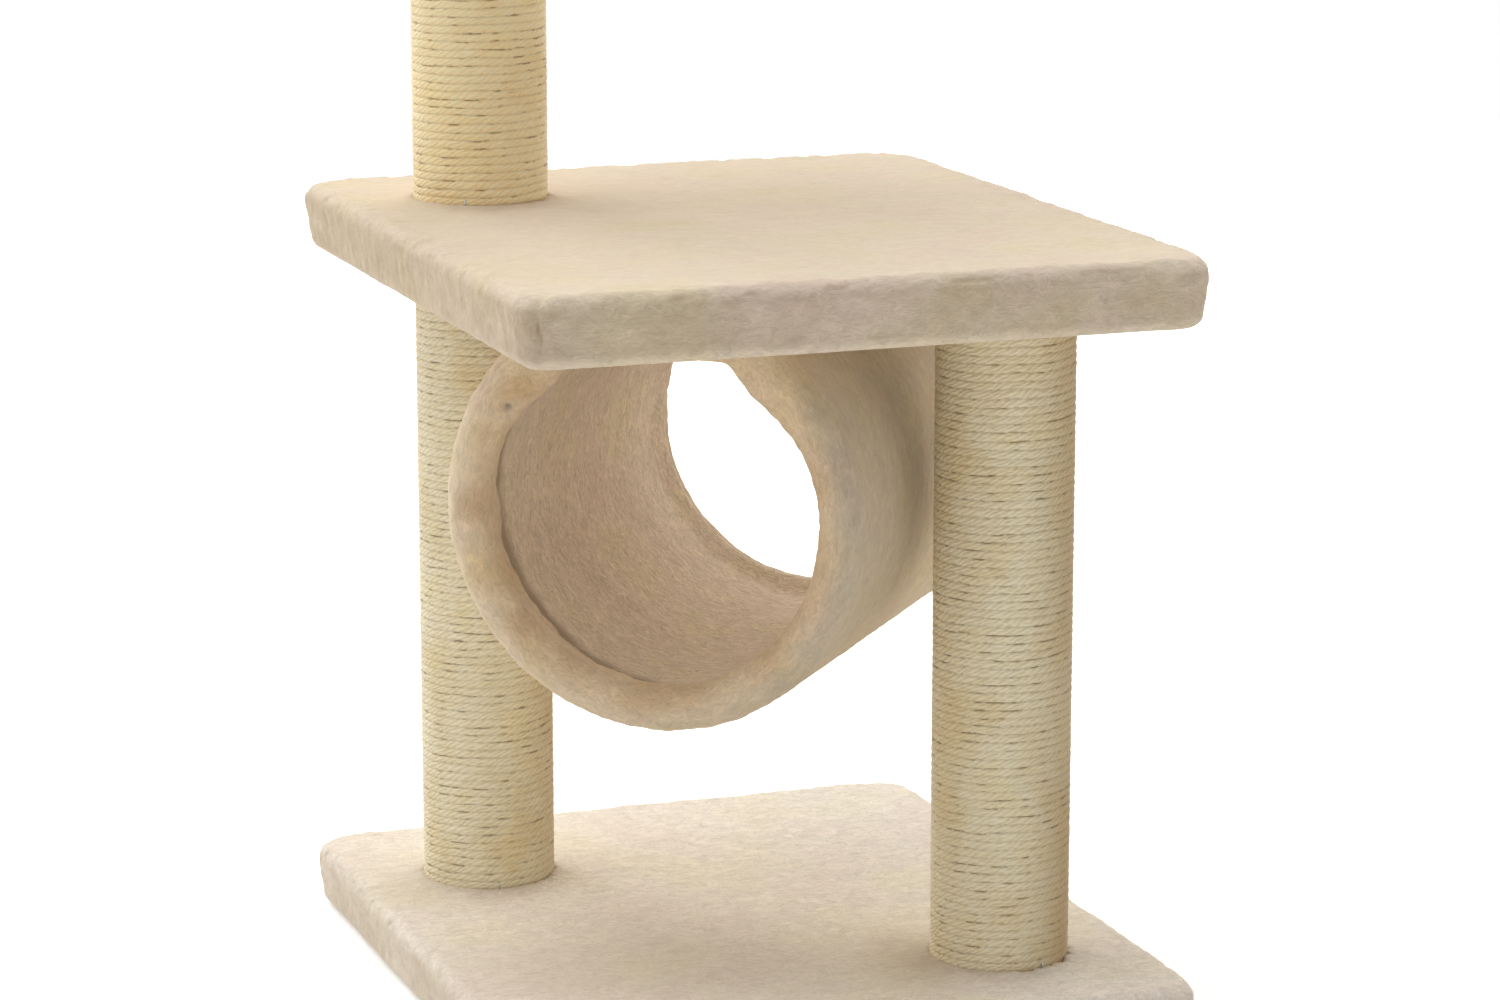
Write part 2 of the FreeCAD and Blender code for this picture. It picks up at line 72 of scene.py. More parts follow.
# Smooth noise from -1 to 1: random values on a cubic lattice, blended with a smoothstep curve.
# The large numbers only scramble the lattice's places.
def softNoise(points, size, seed):
    places = points / size + seed * 17.31
    cell = np.floor(places).astype(np.int64)
    part = ease(places - cell)
    total = np.zeros(points.shape[:-1])
    for corner in range(8):
        step = np.array([corner & 1, corner >> 1 & 1, corner >> 2 & 1])
        key = (cell + step) @ np.array([73856093, 19349663, 83492791]) + seed * 40503
        key = ((key ^ (key >> 13)) * 1274126177) & 0x7FFFFFFF
        key = ((key ^ (key >> 15)) * 668265263) & 0x7FFFFFFF
        value = ((key >> 7) & 0xFFFF) / 32767.5 - 1
        total += value * np.prod(np.where(step, part, 1 - part), axis=-1)
    return total


# A sum of layers of noise. Each layer is its amount, the size of its lumps, its seed and, where
# the lumps are flatter than wide, how many times.
def layered(points, layers):
    total = 0
    for amount, size, seed, *flatter in layers:
        total = total + amount * softNoise(points * [1, 1, *(flatter or [1])], size, seed)
    return total


# A mesh from vertices and groups of faces with equally many corners; every group may bring
# the texture place of each corner, and tones are numbers for the vertices.
def makeMesh(name, vertices, groups, places=None, tones=None):
    mesh = bpy.data.meshes.new(name)
    corners = np.concatenate([group.ravel() for group in groups])
    sizes = np.concatenate([np.full(len(group), group.shape[1]) for group in groups])
    mesh.vertices.add(len(vertices))
    mesh.vertices.foreach_set("co", np.asarray(vertices, np.float32).ravel())
    mesh.loops.add(len(corners))
    mesh.loops.foreach_set("vertex_index", corners.astype(np.int32))
    mesh.polygons.add(len(sizes))
    starts = np.concatenate([[0], np.cumsum(sizes)[:-1]])
    mesh.polygons.foreach_set("loop_start", starts.astype(np.int32))
    mesh.polygons.foreach_set("use_smooth", np.ones(len(sizes), bool))
    if places is not None:
        layer = mesh.uv_layers.new(name="Cloth")
        flat = np.concatenate([group.reshape(-1, 2) for group in places])
        layer.uv.foreach_set("vector", flat.astype(np.float32).ravel())
    for key, values in (tones or {}).items():
        attribute = mesh.attributes.new(key, "FLOAT", "POINT")
        attribute.data.foreach_set("value", np.asarray(values, np.float32).ravel())
    mesh.update(calc_edges=True)
    mesh.validate()
    return mesh


# Points round the vertical axis.
def polar(radius, turn, height):
    parts = np.broadcast_arrays(radius * np.cos(turn), radius * np.sin(turn), height)
    return np.stack(parts, axis=-1)


# The four corners of every cell of a grid, which holds vertex numbers or texture places.
def quadsOf(grid):
    corners = (grid[:-1, :-1], grid[:-1, 1:], grid[1:, 1:], grid[1:, :-1])
    return np.stack(corners, axis=2).reshape(-1, 4, *grid.shape[2:])


# A grid of vertex numbers whose first column, and first row if asked, comes again at its end.
def closed(grid, rowsToo=False):
    if rowsToo:
        grid = np.vstack([grid, grid[:1]])
    return np.hstack([grid, grid[:, :1]])


# Triangles from a closed ring to one middle point.
def fanOf(ring, tip):
    return np.column_stack([ring[:-1], ring[1:], np.full(len(ring) - 1, tip)])


# Every second column goes on inwards: three triangles join two fine steps to one coarse step.
def thinOut(fine, coarse):
    first, middle, last = fine[:-1:2], fine[1::2], fine[2::2]
    triangles = [
        np.column_stack([first, middle, coarse[:-1]]),
        np.column_stack([middle, coarse[1:], coarse[:-1]]),
        np.column_stack([middle, last, coarse[1:]]),
    ]
    return np.concatenate(triangles)


# Unit normals of a grid with closed columns: the cross product of its differences both ways.
def gridNormals(points, closedRows):
    alongColumns = np.roll(points, -1, 1) - np.roll(points, 1, 1)
    if closedRows:
        alongRows = np.roll(points, -1, 0) - np.roll(points, 1, 0)
    else:
        alongRows = np.gradient(points, axis=0)
    normal = np.cross(alongColumns, alongRows)
    return normal / np.maximum(np.linalg.norm(normal, axis=-1, keepdims=True), 1e-12)


def addObject(name, data):
    item = bpy.data.objects.new(name, data)
    bpy.context.scene.collection.objects.link(item)
    return item


def addPiece(mesh, material, replaced=()):
    piece = addObject(mesh.name, mesh)
    mesh.materials.append(material)
    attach(piece, "root")
    if replaced:
        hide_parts(*replaced)
    return piece


# A hex colour as linear numbers.
def linear(code):
    parts = [int(code[i : i + 2], 16) / 255 for i in (0, 2, 4)]
    return tuple(c / 12.92 if c <= 0.04045 else ((c + 0.055) / 1.055) ** 2.4 for c in parts) + (1,)


# Joins a node's sockets to the first output of other nodes, or to the one given with them.
def join(node, links):
    for key, source in links.items():
        other, output = source if isinstance(source, tuple) else (source, 0)
        node.id_data.links.new(other.outputs[output], node.inputs[key])


# Adds a node. Settings in small letters are its properties, "stops" the (position, colour)
# stops of its ramp, and all others its sockets, by name or number.
def addNode(tree, kind, settings=None, links=None):
    node = tree.nodes.new("ShaderNode" + kind)
    for key, value in (settings or {}).items():
        if key == "stops":
            elements = node.color_ramp.elements
            while len(elements) < len(value):
                elements.new(0.5)
            for element, (position, code) in zip(elements, value):
                element.position = position
                element.color = linear(code)
        elif str(key).islower():
            setattr(node, key, value)
        else:
            node.inputs[key].default_value = value
    join(node, links or {})
    return node


# A new material, the function that adds nodes to it, its shader, and the place that patterns
# read: the piece's UV map, in metres along the surface, or Object coordinates.
def newMaterial(name, settings, alongSurface=False):
    material = bpy.data.materials.new(name)
    material.use_nodes = True
    add = partial(addNode, material.node_tree)
    shader = material.node_tree.nodes["Principled BSDF"]
    for key, value in settings.items():
        shader.inputs[key].default_value = value
    if alongSurface:
        return material, add, shader, add("UVMap", {"uv_map": "Cloth"})
    return material, add, shader, (add("TexCoord"), "Object")


# Gives a shader its colour and, from a height, its relief.
def finishSurface(add, shader, colour, height, strength, depth):
    bump = add("Bump", {"Strength": strength, "Distance": depth}, {"Height": height})
    join(shader, {"Base Color": colour, "Normal": bump})


stageLook = {
    "floor": "F2F1EF",
    "floorSize": 5.0,
    "floorDrop": 0.2 * mm,
    "glow": (0.3, 1.0),  # the floor's own light near the object and far from it
    "glowReach": (0.35, 1.5),
    "sky": (0.36, 1.0),
    "skySide": (-0.1, 0.95, 0.15),
    "lamps": {  # place, target, size and power
        "topLamp": ((-0.7, 0.3, 3.0), (0, 0, 0.3), 2.4, 31),
        "leftBackLamp": ((-1.1, 3.0, 1.2), (0, 0, 0.2), 1.6, 21),
        "rightBackLamp": ((2.0, 2.4, 1.6), (0, 0, 0.2), 3.0, 25),
    },
    "lens": 107.77,
    "place": (-0.6508, -1.8144, 0.6331),
    "yaw": 19.94,
    "pitch": 12.20,
}


# Pale paper: to the camera it also gives its own light, more of it further out, so that it is
# white where no shadow falls and keeps the shadow round the object.
def makeFloor(look):
    half = look["floorSize"] / 2
    corners = np.array([(-half, -half, 0), (half, -half, 0), (half, half, 0), (-half, half, 0)])
    corners = corners - [0, 0, look["floorDrop"]]
    floor = addObject("studioFloor", makeMesh("studioFloor", corners, [np.array([[0, 1, 2, 3]])]))
    settings = {"Base Color": linear(look["floor"]), "Roughness": 0.9, "Emission Color": (1, 1, 1, 1)}
    material, add, shader, place = newMaterial("palePaper", settings)
    path = add("LightPath")
    away = add("VectorMath", {"operation": "LENGTH"}, {0: place})
    (near, far), (dim, bright) = look["glowReach"], look["glow"]
    ranges = {"From Min": near, "From Max": far, "To Min": dim, "To Max": bright}
    glow = add("MapRange", ranges, {0: (away, "Value")})
    seen = add("Math", {"operation": "MULTIPLY"}, {0: (path, "Is Camera Ray"), 1: glow})
    join(shader, {"Emission Strength": seen})
    floor.data.materials.append(material)


# The soft boxes round the table: dim on the camera's side, bright on the backdrop's side, and
# white to the camera and in what metal shows.
def makeSky(look):
    world = bpy.data.worlds.new("studio")
    bpy.context.scene.world = world
    world.use_nodes = True
    add = partial(addNode, world.node_tree)
    soft = world.node_tree.nodes["Background"]
    soft.inputs["Color"].default_value = (1, 1, 1, 1)
    way = (add("TexCoord"), "Generated")
    side = Vector(look["skySide"]).normalized()
    facing = add("VectorMath", {"operation": "DOT_PRODUCT", 1: side}, {0: way})
    dim, bright = look["sky"]
    ranges = {"From Min": -1.0, "From Max": 1.0, "To Min": dim, "To Max": bright}
    join(soft, {"Strength": add("MapRange", ranges, {0: (facing, "Value")})})
    white = add("Background", {"Color": (1, 1, 1, 1), "Strength": 1.0})
    path = add("LightPath")
    seen = (path, "Is Camera Ray")
    for ray in ("Is Glossy Ray", "Is Transmission Ray"):
        seen = add("Math", {"operation": "MAXIMUM"}, {0: seen, 1: (path, ray)})
    mixed = add("MixShader", links={0: seen, 1: soft, 2: white})
    join(world.node_tree.nodes["World Output"], {"Surface": mixed})


def placeAndAim(item, place, direction):
    item.location = place
    item.rotation_euler = Vector(direction).to_track_quat("-Z", "Y").to_euler()


def makeLampsAndCamera(look):
    for name, (place, target, size, power) in look["lamps"].items():
        lamp = bpy.data.lights.new(name, "AREA")
        lamp.shape = "DISK"
        lamp.size = size
        lamp.energy = power
        placeAndAim(addObject(name, lamp), place, Vector(target) - Vector(place))
    camera = bpy.data.cameras.new("camera")
    camera.lens = look["lens"]
    camera.sensor_width = 36
    camera.clip_end = 50
    holder = addObject("camera", camera)
    yaw, pitch = math.radians(look["yaw"]), math.radians(look["pitch"])
    level = math.cos(pitch)
    forward = (math.sin(yaw) * level, math.cos(yaw) * level, -math.sin(pitch))
    placeAndAim(holder, look["place"], forward)
    bpy.context.scene.camera = holder
    bpy.context.scene.view_settings.view_transform = "Standard"


makeFloor(stageLook)
makeSky(stageLook)
makeLampsAndCamera(stageLook)
print("stage done")


plushLook = {
    "cream": "E3D4BF",
    "pink": "E3D0BE",
    "yellow": "E1D2B6",
    "pressed": "AA9272",
    "lock": (1.35 * mm, 3.8),  # width, and how many times longer than wide
    "lockContrast": 0.16,
    "wave": 9 * mm,
    "tuft": 5.5 * mm,
    "tuftContrast": 0.15,
    "patch": 45 * mm,
    "relief": 0.35 * mm,
}


# Short polyester plush: a dull, soft pile whose hairs lie one way. Single hairs are too fine to
# show, so the pattern is their wavy locks, about a millimetre wide and three long, softer tufts
# and large patches where the pile was brushed apart. The attribute "ruffle" says how much the
# locks stand up. A second attribute mixes in the darker colour: painted shade in creases, gaps,
# on the sides and round the posts' feet, and in some places also the pile's own greyer or
# brushed tone. A third, on the tunnel's cover, mixes in a tan colour: the pile's own yellower
# tone in patches on the rims, and painted shade in the crease, the dimple and towards the rims'
# inside.
def plushMaterial(name, look, alongSurface):
    settings = {
        "Roughness": 0.95,
        "Specular IOR Level": 0.15,
        "Sheen Weight": 0.45,
        "Sheen Roughness": 0.5,
        "Sheen Tint": linear("FFEFD2"),
    }
    material, add, shader, place = newMaterial(name, settings, alongSurface)
    bend = add("TexNoise", {"Scale": 1 / look["wave"], "Detail": 1}, {"Vector": place})
    settings = {"operation": "SCALE", "Scale": 0.7 * look["wave"]}
    bend = add("VectorMath", settings, {0: (bend, "Color")})
    wavy = add("VectorMath", {"operation": "ADD"}, {0: place, 1: bend})
    width, stretch = look["lock"]
    lay = add("Mapping", {"Scale": (1 / stretch, 1, 1)}, {"Vector": wavy})
    settings = {"Scale": 1 / width, "Detail": 1.2, "Roughness": 0.5, "Distortion": 1.4}
    locks = add("TexNoise", settings, {"Vector": lay})
    lay = add("Mapping", {"Scale": (0.6, 1, 1)}, {"Vector": wavy})
    settings = {"Scale": 1 / look["tuft"], "Detail": 3, "Roughness": 0.6, "Distortion": 1.0}
    tufts = add("TexNoise", settings, {"Vector": lay})
    patches = add("TexNoise", {"Scale": 1 / look["patch"], "Detail": 3}, {"Vector": place})
    stops = [(0.36, look["pink"]), (0.5, look["cream"]), (0.64, look["yellow"])]
    tint = add("ValToRGB", {"stops": stops}, {"Fac": patches})
    if "tan" in look:
        tanAndShadeShare = (add("Attribute", {"attribute_name": "tan"}), "Fac")
        tint = (add("Mix", {"data_type": "RGBA", 7: linear(look["tan"])}, {0: tanAndShadeShare, 6: tint}), 2)
    ruffle, pressed = (
        (add("Attribute", {"attribute_name": key}), "Fac") for key in ("ruffle", "pressed")
    )
    ranges = {"From Min": 0.25, "From Max": 0.75, "To Min": -0.8, "To Max": 0.8}
    depth, swell = (add("MapRange", ranges, {0: part}) for part in (locks, tufts))
    depth = add("Math", {"operation": "MULTIPLY", 1: look["lockContrast"]}, {0: depth})
    both = add("Math", {"operation": "MULTIPLY_ADD", 1: look["tuftContrast"]}, {0: swell, 2: depth})
    shade = add("Math", {"operation": "MULTIPLY_ADD", 2: 1.0}, {0: both, 1: ruffle})
    shaded = add("VectorMath", {"operation": "SCALE"}, {0: tint, "Scale": shade})
    settings = {"data_type": "RGBA", 7: linear(look["pressed"])}
    colour = (add("Mix", settings, {0: pressed, 6: shaded}), 2)
    height = add("Math", {"operation": "MULTIPLY_ADD", 1: 0.8}, {0: tufts, 2: locks})
    height = add("Math", {"operation": "MULTIPLY"}, {0: height, 1: ruffle})
    finishSurface(add, shader, colour, height, 1.0, look["relief"])
    return material


plateLook = {
    "corner": 16 * mm,
    "topCorner": 6 * mm,
    "rounding": 6.5 * mm,
    "lean": 2.5 * mm,
    "hem": 30 * mm,
    "hemCorner": 10 * mm,
    "plush": 3 * mm,
    "cornerPoints": 22,
    "sideStep": 1.5 * mm,
    "topStep": 2.5 * mm,
    "pull": (2 * mm, 14 * mm),  # how far the corners' upper ends are pulled in, and its reach
    # layers of noise: amount, size, seed and flatness
    "dents": [(0.3 * mm, 26 * mm, 3), (0.14 * mm, 7 * mm, 4)],
    "edgeTufts": [(0.3 * mm, 7.5 * mm, 5, 2.75), (0.22 * mm, 3 * mm, 6, 1.6)],
    "sideTufts": [(0.22 * mm, 11 * mm, 7, 2), (0.32 * mm, 3.2 * mm, 8)],
    "sideShade": [(0.35, 18 * mm, 9), (0.35, 7 * mm, 10, 1.5)],
    "gaps": [(1.6, 6.25 * mm, 12, 2.75)],
    "gapShade": 0.6,
    "gapDepth": 0.4 * mm,
    "footShade": 0.3,
    "leftShade": 0.6,  # how much more painted shade the left side gets
}


# Points of a rounded rectangle at one height, anticlockwise from the right side's lower end:
# each side is evenly divided and each corner is a quarter circle, with the same counts at
# every size.
def plateLoop(halfX, halfY, corner, height, counts):
    sideX, sideY, around = counts
    loops = []
    turns = [(1, 1, 0, sideY), (-1, 1, 1, sideX), (-1, -1, 2, sideY), (1, -1, 3, sideX)]
    for signX, signY, quarter, side in turns:
        middle = np.array([signX * (halfX - corner), signY * (halfY - corner)])
        angle = (quarter + np.linspace(0, 1, around)) * math.pi / 2
        arc = middle + corner * np.stack([np.cos(angle), np.sin(angle)], axis=-1)
        before = turns[quarter - 1]
        last = np.array([before[0] * (halfX - corner), before[1] * (halfY - corner)])
        start = last + corner * np.array([math.cos(angle[0]), math.sin(angle[0])])
        share = np.linspace(0, 1, side + 2)[1:-1, None]
        loops += [start + (arc[0] - start) * share, arc]
    loop = np.concatenate(loops)
    return np.column_stack([loop, np.full(len(loop), height)])


# Loops that shrink evenly to the middle, without the first and the last.
def shrinkingLoops(halfX, halfY, corner, height, counts, steps):
    shares = np.linspace(1, 0, steps + 1)[1:-1]
    return [plateLoop(halfX * s, halfY * s, corner * s, height, counts) for s in shares]


# The cover's path from the hem's free edge, out under the plate, up its side and over the top:
# rows of (inset from the outline, height), where the side leans in towards the bottom.
def platePath(look, thick):
    hem, r, lean = look["hem"], look["rounding"], look["lean"]
    under = [(hem, look["plush"]), (hem, 1.2 * mm), (hem - 0.8 * mm, 0.25 * mm)]
    under += [(x, 0.0) for x in np.linspace(hem - 2.5 * mm, r + lean + mm, 8)]
    low = [(r + lean - r * math.sin(a), r - r * math.cos(a)) for a in np.linspace(0, math.pi / 2, 9)]
    side = [(lean * (1 - s), r + (thick - 2 * r) * s) for s in np.linspace(0, 1, 13)[1:-1]]
    high = [(r - r * math.cos(a), thick - r + r * math.sin(a)) for a in np.linspace(0, math.pi / 2, 10)]
    top = [(r + step * 1.3 * mm, thick) for step in range(1, 5)]
    return under + low + side + high + top


seatLook = {
    "depth": 1.6 * mm,
    "inside": 1.2 * mm,  # this far inside the rope's circle the cloth is pressed down
    "near": 1.3 * mm,
    "circles": (1.0 * mm, 0.3 * mm),  # how far the two circles lie inside the rope's
    "swell": (1.5 * mm, 4 * mm),  # height and reach
    "shade": 6 * mm,
}


# Moves the chosen points near a post's foot onto two circles: the inner one is pressed down
# under the post, and the outer one swells against the rope. Returns the painted shade round the
# foot, which fades outwards.
def seatPost(points, chosen, rope, upward):
    look = seatLook
    size, foot = boxOf(rope)
    radius = size[0] / 2
    away = points[chosen, :2] - foot[:2]
    distance = np.maximum(np.linalg.norm(away, axis=-1), 1e-9)
    inside = distance < radius - look["inside"]
    target = radius - np.where(distance < radius, *look["circles"])
    target = np.where(np.abs(distance - radius) < look["near"], target, distance)
    points[chosen, :2] = foot[:2] + away * (target / distance)[:, None]
    swell, reach = look["swell"]
    lift = np.where(inside, -look["depth"], swell * bell((distance - radius) / reach))
    points[chosen, 2] += upward * lift
    shade = np.zeros(len(points))
    shade[chosen] = np.exp(-np.maximum(distance - radius, 0) / look["shade"]) * ~inside
    return shade


foldLook = {
    "spot": 0.293,  # the middle of a corner's arc lies this share of its radius inside
    "reach": 14 * mm,
    "groovePlace": 3.2 * mm,
    "groove": (1.4 * mm, 1.3 * mm),  # depth and width
    "sway": (0.9 * mm, 5 * mm),
    "slit": (0.55, 6 * mm),  # the groove is deepest at this share of the height
    "fullnessPlace": 4.5 * mm,
    "fullness": (0.9 * mm, 3.4 * mm),  # height and width
}


# Folds at the corners: the cloth's fullness is a ridge that lies round the corner, with a
# groove beside it, and both are bell curves across the fold. Returns how far the points move
# and the painted shade in the groove.
def foldCorners(points, halfX, halfY, thick, folds):
    look = foldLook
    level = points[..., 2]
    spotInset = plateLook["corner"] * look["spot"]
    rise = fade(level / (5 * mm)) * fade((thick + 1.5 * mm - level) / (4 * mm))
    share, height = look["slit"]
    slit = 0.3 + 0.7 * bell((level - share * thick) / height)
    sway, wave = look["sway"]
    (depth, narrow), (full, wide) = look["groove"], look["fullness"]
    amount, pressed = np.zeros(level.shape), np.zeros(level.shape)
    for signX, signY, strength in folds:
        spot = np.array([signX * (halfX - spotInset), signY * (halfY - spotInset)])
        away = points[..., :2] - spot
        across = (away[..., 0] * signX - away[..., 1] * signY) / math.sqrt(2)
        across = across + look["groovePlace"] + sway * np.sin(level / wave)
        close = strength * rise * bell(np.linalg.norm(away, axis=-1) / look["reach"])
        groove = slit * bell(across / narrow)
        ridge = bell((across - look["fullnessPlace"]) / wide)
        amount += close * (full * ridge - depth * groove)
        pressed = np.maximum(pressed, close * groove)
    return amount, pressed


# A plate's cover. The path is carried round the rounded rectangle, and the top goes on inwards
# as shrinking loops with half as many columns, to one middle point. Noise, pulled corners and
# folds move the surface along its normals, and the posts' feet press it down.
def makePlate(name, cover, material, plate):
    look = plateLook
    size, foot = boxOf(cover)
    (halfX, halfY), thick, corner = size[:2] / 2, size[2], look["corner"]
    sides = [int((half - corner) / look["sideStep"]) * 2 for half in (halfX, halfY)]
    counts = (*sides, look["cornerPoints"])
    path = platePath(look, thick)
    rows = []
    for inset, height in path:
        bend = max(corner - inset, look["topCorner"]) if inset < corner else look["hemCorner"]
        rows.append(plateLoop(halfX - inset, halfY - inset, bend, height, counts))
    points = np.array(rows)
    innerX, innerY = halfX - path[-1][0], halfY - path[-1][0]
    steps = int(min(innerX, innerY) / look["topStep"])
    inner = np.array(shrinkingLoops(innerX, innerY, look["topCorner"], thick, counts, steps))[:, ::2]
    inner[..., 2] += layered(inner + foot, look["dents"])
    normals = gridNormals(points, False)

    # soft dents, with tufts on the rounded edges and the sides
    place, level = points + foot, points[..., 2]
    gapX, gapY = halfX - np.abs(points[..., 0]), halfY - np.abs(points[..., 1])
    outer = np.minimum(gapX, gapY)
    edge = bell((level - thick + 3 * mm) / (5 * mm)) * fade((16 * mm - outer) / (8 * mm))
    side = fade(level / (4 * mm)) * fade((16 * mm - outer) / (6 * mm))
    amount = layered(place, look["dents"]) + edge * layered(place, look["edgeTufts"])
    amount += side * layered(place, look["sideTufts"])

    # the cloth is pulled tight over the corners, which makes their upper ends rounder
    pull, reach = look["pull"]
    upper = fade((level - thick + 10 * mm) / (7 * mm))
    amount -= pull * upper * bell(np.hypot(gapX, gapY) / reach)
    folded, pressed = foldCorners(points, halfX, halfY, thick, plate["folds"])
    amount += folded

    # painted shade on the sides, uneven, and stronger on the left side
    upright = fade(1.2 - np.abs(normals[..., 2]) * 1.6)
    leftSide = 1 + look["leftShade"] * fade(-normals[..., 0])
    uneven = 1 + layered(place, look["sideShade"])
    pressed = np.maximum(pressed, plate["paintedSideShade"] * upright * uneven * leftSide)
    # short gaps under the tufts along the top edge: sunk, and darkened with painted shade
    ridge = bell((level - thick + 3.2 * mm) / (1.6 * mm)) * (outer < 5 * mm)
    gaps = ridge * fade(layered(place, look["gaps"]) - 0.35)
    pressed = np.maximum(pressed, look["gapShade"] * gaps)
    amount -= look["gapDepth"] * gaps
    ruffle = plate["ruffle"] + (1 - plate["ruffle"]) * fade(1.3 - normals[..., 2])
    amount = np.where(level < 0.3 * mm, 0, amount)
    points = points + normals * amount[..., None]
    points[..., 2] = np.maximum(points[..., 2], 0)

    outline = points.reshape(-1, 3)
    points = np.concatenate([outline, inner.reshape(-1, 3), [[0, 0, thick]]]) + foot
    more = len(points) - len(outline)
    pressed = np.concatenate([pressed.ravel(), np.zeros(more)])
    ruffle = np.concatenate([ruffle.ravel(), np.full(more, plate["ruffle"])])
    top = points[:, 2] > foot[2] + thick - 2 * mm
    # the posts' feet press the top down, with painted shade round them
    for rope in plate["posts"]:
        pressed = np.maximum(pressed, look["footShade"] * seatPost(points, top, rope, 1))
    # darker spots: partly pile brushed flat, partly painted shade
    for spotX, spotY, reach, strength in plate["brushedAndShaded"]:
        away = np.linalg.norm((points[:, :2] - [spotX, spotY]) / reach, axis=-1)
        pressed = pressed + (strength - pressed * strength) * bell(away)

    outerGrid = closed(np.arange(len(outline)).reshape(len(path), -1))
    innerGrid = closed(np.arange(len(outline), len(points) - 1).reshape(len(inner), -1))
    middle = [thinOut(outerGrid[-1], innerGrid[0]), fanOf(innerGrid[-1], len(points) - 1)]
    groups = [quadsOf(outerGrid), quadsOf(innerGrid), np.concatenate(middle)]
    mesh = makeMesh(name, points, groups, tones={"pressed": pressed, "ruffle": ruffle})
    piece = addPiece(mesh, material, [cover])


linerLook = {
    # the turned-up edge: inset and height
    "edge": [(0, 3 * mm), (0, 1.6 * mm), (0.3 * mm, 0.7 * mm), (0.9 * mm, 0.2 * mm), (1.8 * mm, 0)],
    "flat": 2 * mm,
    "cornerPoints": 8,
    "dents": [(0.25 * mm, 22 * mm, 14), (0.25 * mm, 7 * mm, 15)],
    "pressed": 0.15,
    "footShade": 0.35,
    "ruffle": 0.7,
}


# The plush panel that closes a plate's underside: loops from its turned-up edge to the middle.
def makeLiner(name, node, material, ropes):
    look = linerLook
    size, foot = boxOf(node)
    (halfX, halfY), corner = size[:2] / 2, plateLook["hemCorner"]
    sides = [int(half / plateLook["topStep"]) for half in (halfX, halfY)]
    counts = (sides[0] * 2, sides[1] * 2, look["cornerPoints"])
    loops = [plateLoop(halfX - x, halfY - x, corner - x, height, counts) for x, height in look["edge"]]
    half = size[:2] / 2 - look["flat"]
    loops += shrinkingLoops(*half, corner - look["flat"], 0, counts, min(sides))
    points = np.concatenate([np.array(loops).reshape(-1, 3), [[0, 0, 0]]]) + foot
    points[:, 2] += layered(points, look["dents"])
    # the whole panel gets a little of the darker colour, and painted shade round the posts' feet
    pressed = np.full(len(points), look["pressed"])
    for rope in ropes:
        shade = seatPost(points, slice(None), rope, -1)
        pressed = np.maximum(pressed, look["footShade"] * shade)
    grid = closed(np.arange(len(points) - 1).reshape(len(loops), -1))
    groups = [quadsOf(grid), fanOf(grid[-1], len(points) - 1)]
    tones = {"pressed": pressed, "ruffle": np.full(len(points), look["ruffle"])}
    piece = addPiece(makeMesh(name, points, groups, tones=tones), material, [node])


# The folds hold corners and strengths, and the darker spots X, Y, reach and strength: partly
# where the pile was brushed flat and partly painted shade, such as the shadow of the parts above.
# The side tone is the strength of the painted shade on the sides.
basePlate = {
    "posts": ["left_post_rope", "right_post_rope"],
    "folds": [(-1, -1, 0.8), (1, -1, 0.6), (1, 1, 0.5), (-1, 1, 0.5)],
    "brushedAndShaded": [
        (-0.09, -0.06, (0.075, 0.075), 0.42),
        (0.0, -0.1, (0.09, 0.06), 0.3),
        (0.045, -0.105, (0.022, 0.03), 0.35),
        (0.13, -0.13, (0.035, 0.05), 0.2),
        (-0.125, 0.075, (0.03, 0.035), 0.2),
        (-0.14, 0.12, (0.05, 0.07), 0.2),
        (0.055, -0.082, (0.018, 0.022), 0.3),
    ],
    "ruffle": 1.2,
    "paintedSideShade": 0.2,
}
platformPlate = {
    "posts": ["upper_post_rope"],
    "folds": [(-1, -1, 1.0), (1, -1, 0.5), (1, 1, 0.5), (-1, 1, 0.4)],
    "brushedAndShaded": [
        (-0.13, 0.04, (0.07, 0.16), 0.14),
        (-0.035, 0.05, (0.04, 0.03), 0.12),
        (0.03, 0.02, (0.03, 0.02), 0.08),
    ],
    "ruffle": 0.55,
    "paintedSideShade": 0.3,
}
perchPlate = {
    "posts": [],
    "folds": [(-1, -1, 0.9), (1, -1, 0.6), (1, 1, 0.5), (-1, 1, 0.5)],
    "brushedAndShaded": [],
    "ruffle": 0.7,
    "paintedSideShade": 0.3,
}
# the base's plush is a lighter copy of the same plush, with shorter locks: its lighter colours paint in
# brighter light on the base
litBaseLook = dict(plushLook, cream="F5ECDF", pink="F4E8DC", yellow="F5ECD9", pressed="A48E70")
litBaseLook["lock"] = (1.3 * mm, 1.8)
plush = plushMaterial("shortPlush", plushLook, False)
makePlate("basePlush", "base_cover", plushMaterial("basePlush", litBaseLook, False), basePlate)
makePlate("platformPlush", "platform_cover", plush, platformPlate)
makePlate("perchPlush", "perch_cover", plush, perchPlate)
makeLiner("platformLiner", "platform_liner", plush, basePlate["posts"])
makeLiner("perchLiner", "perch_liner", plush, platformPlate["posts"])
print("plates done")


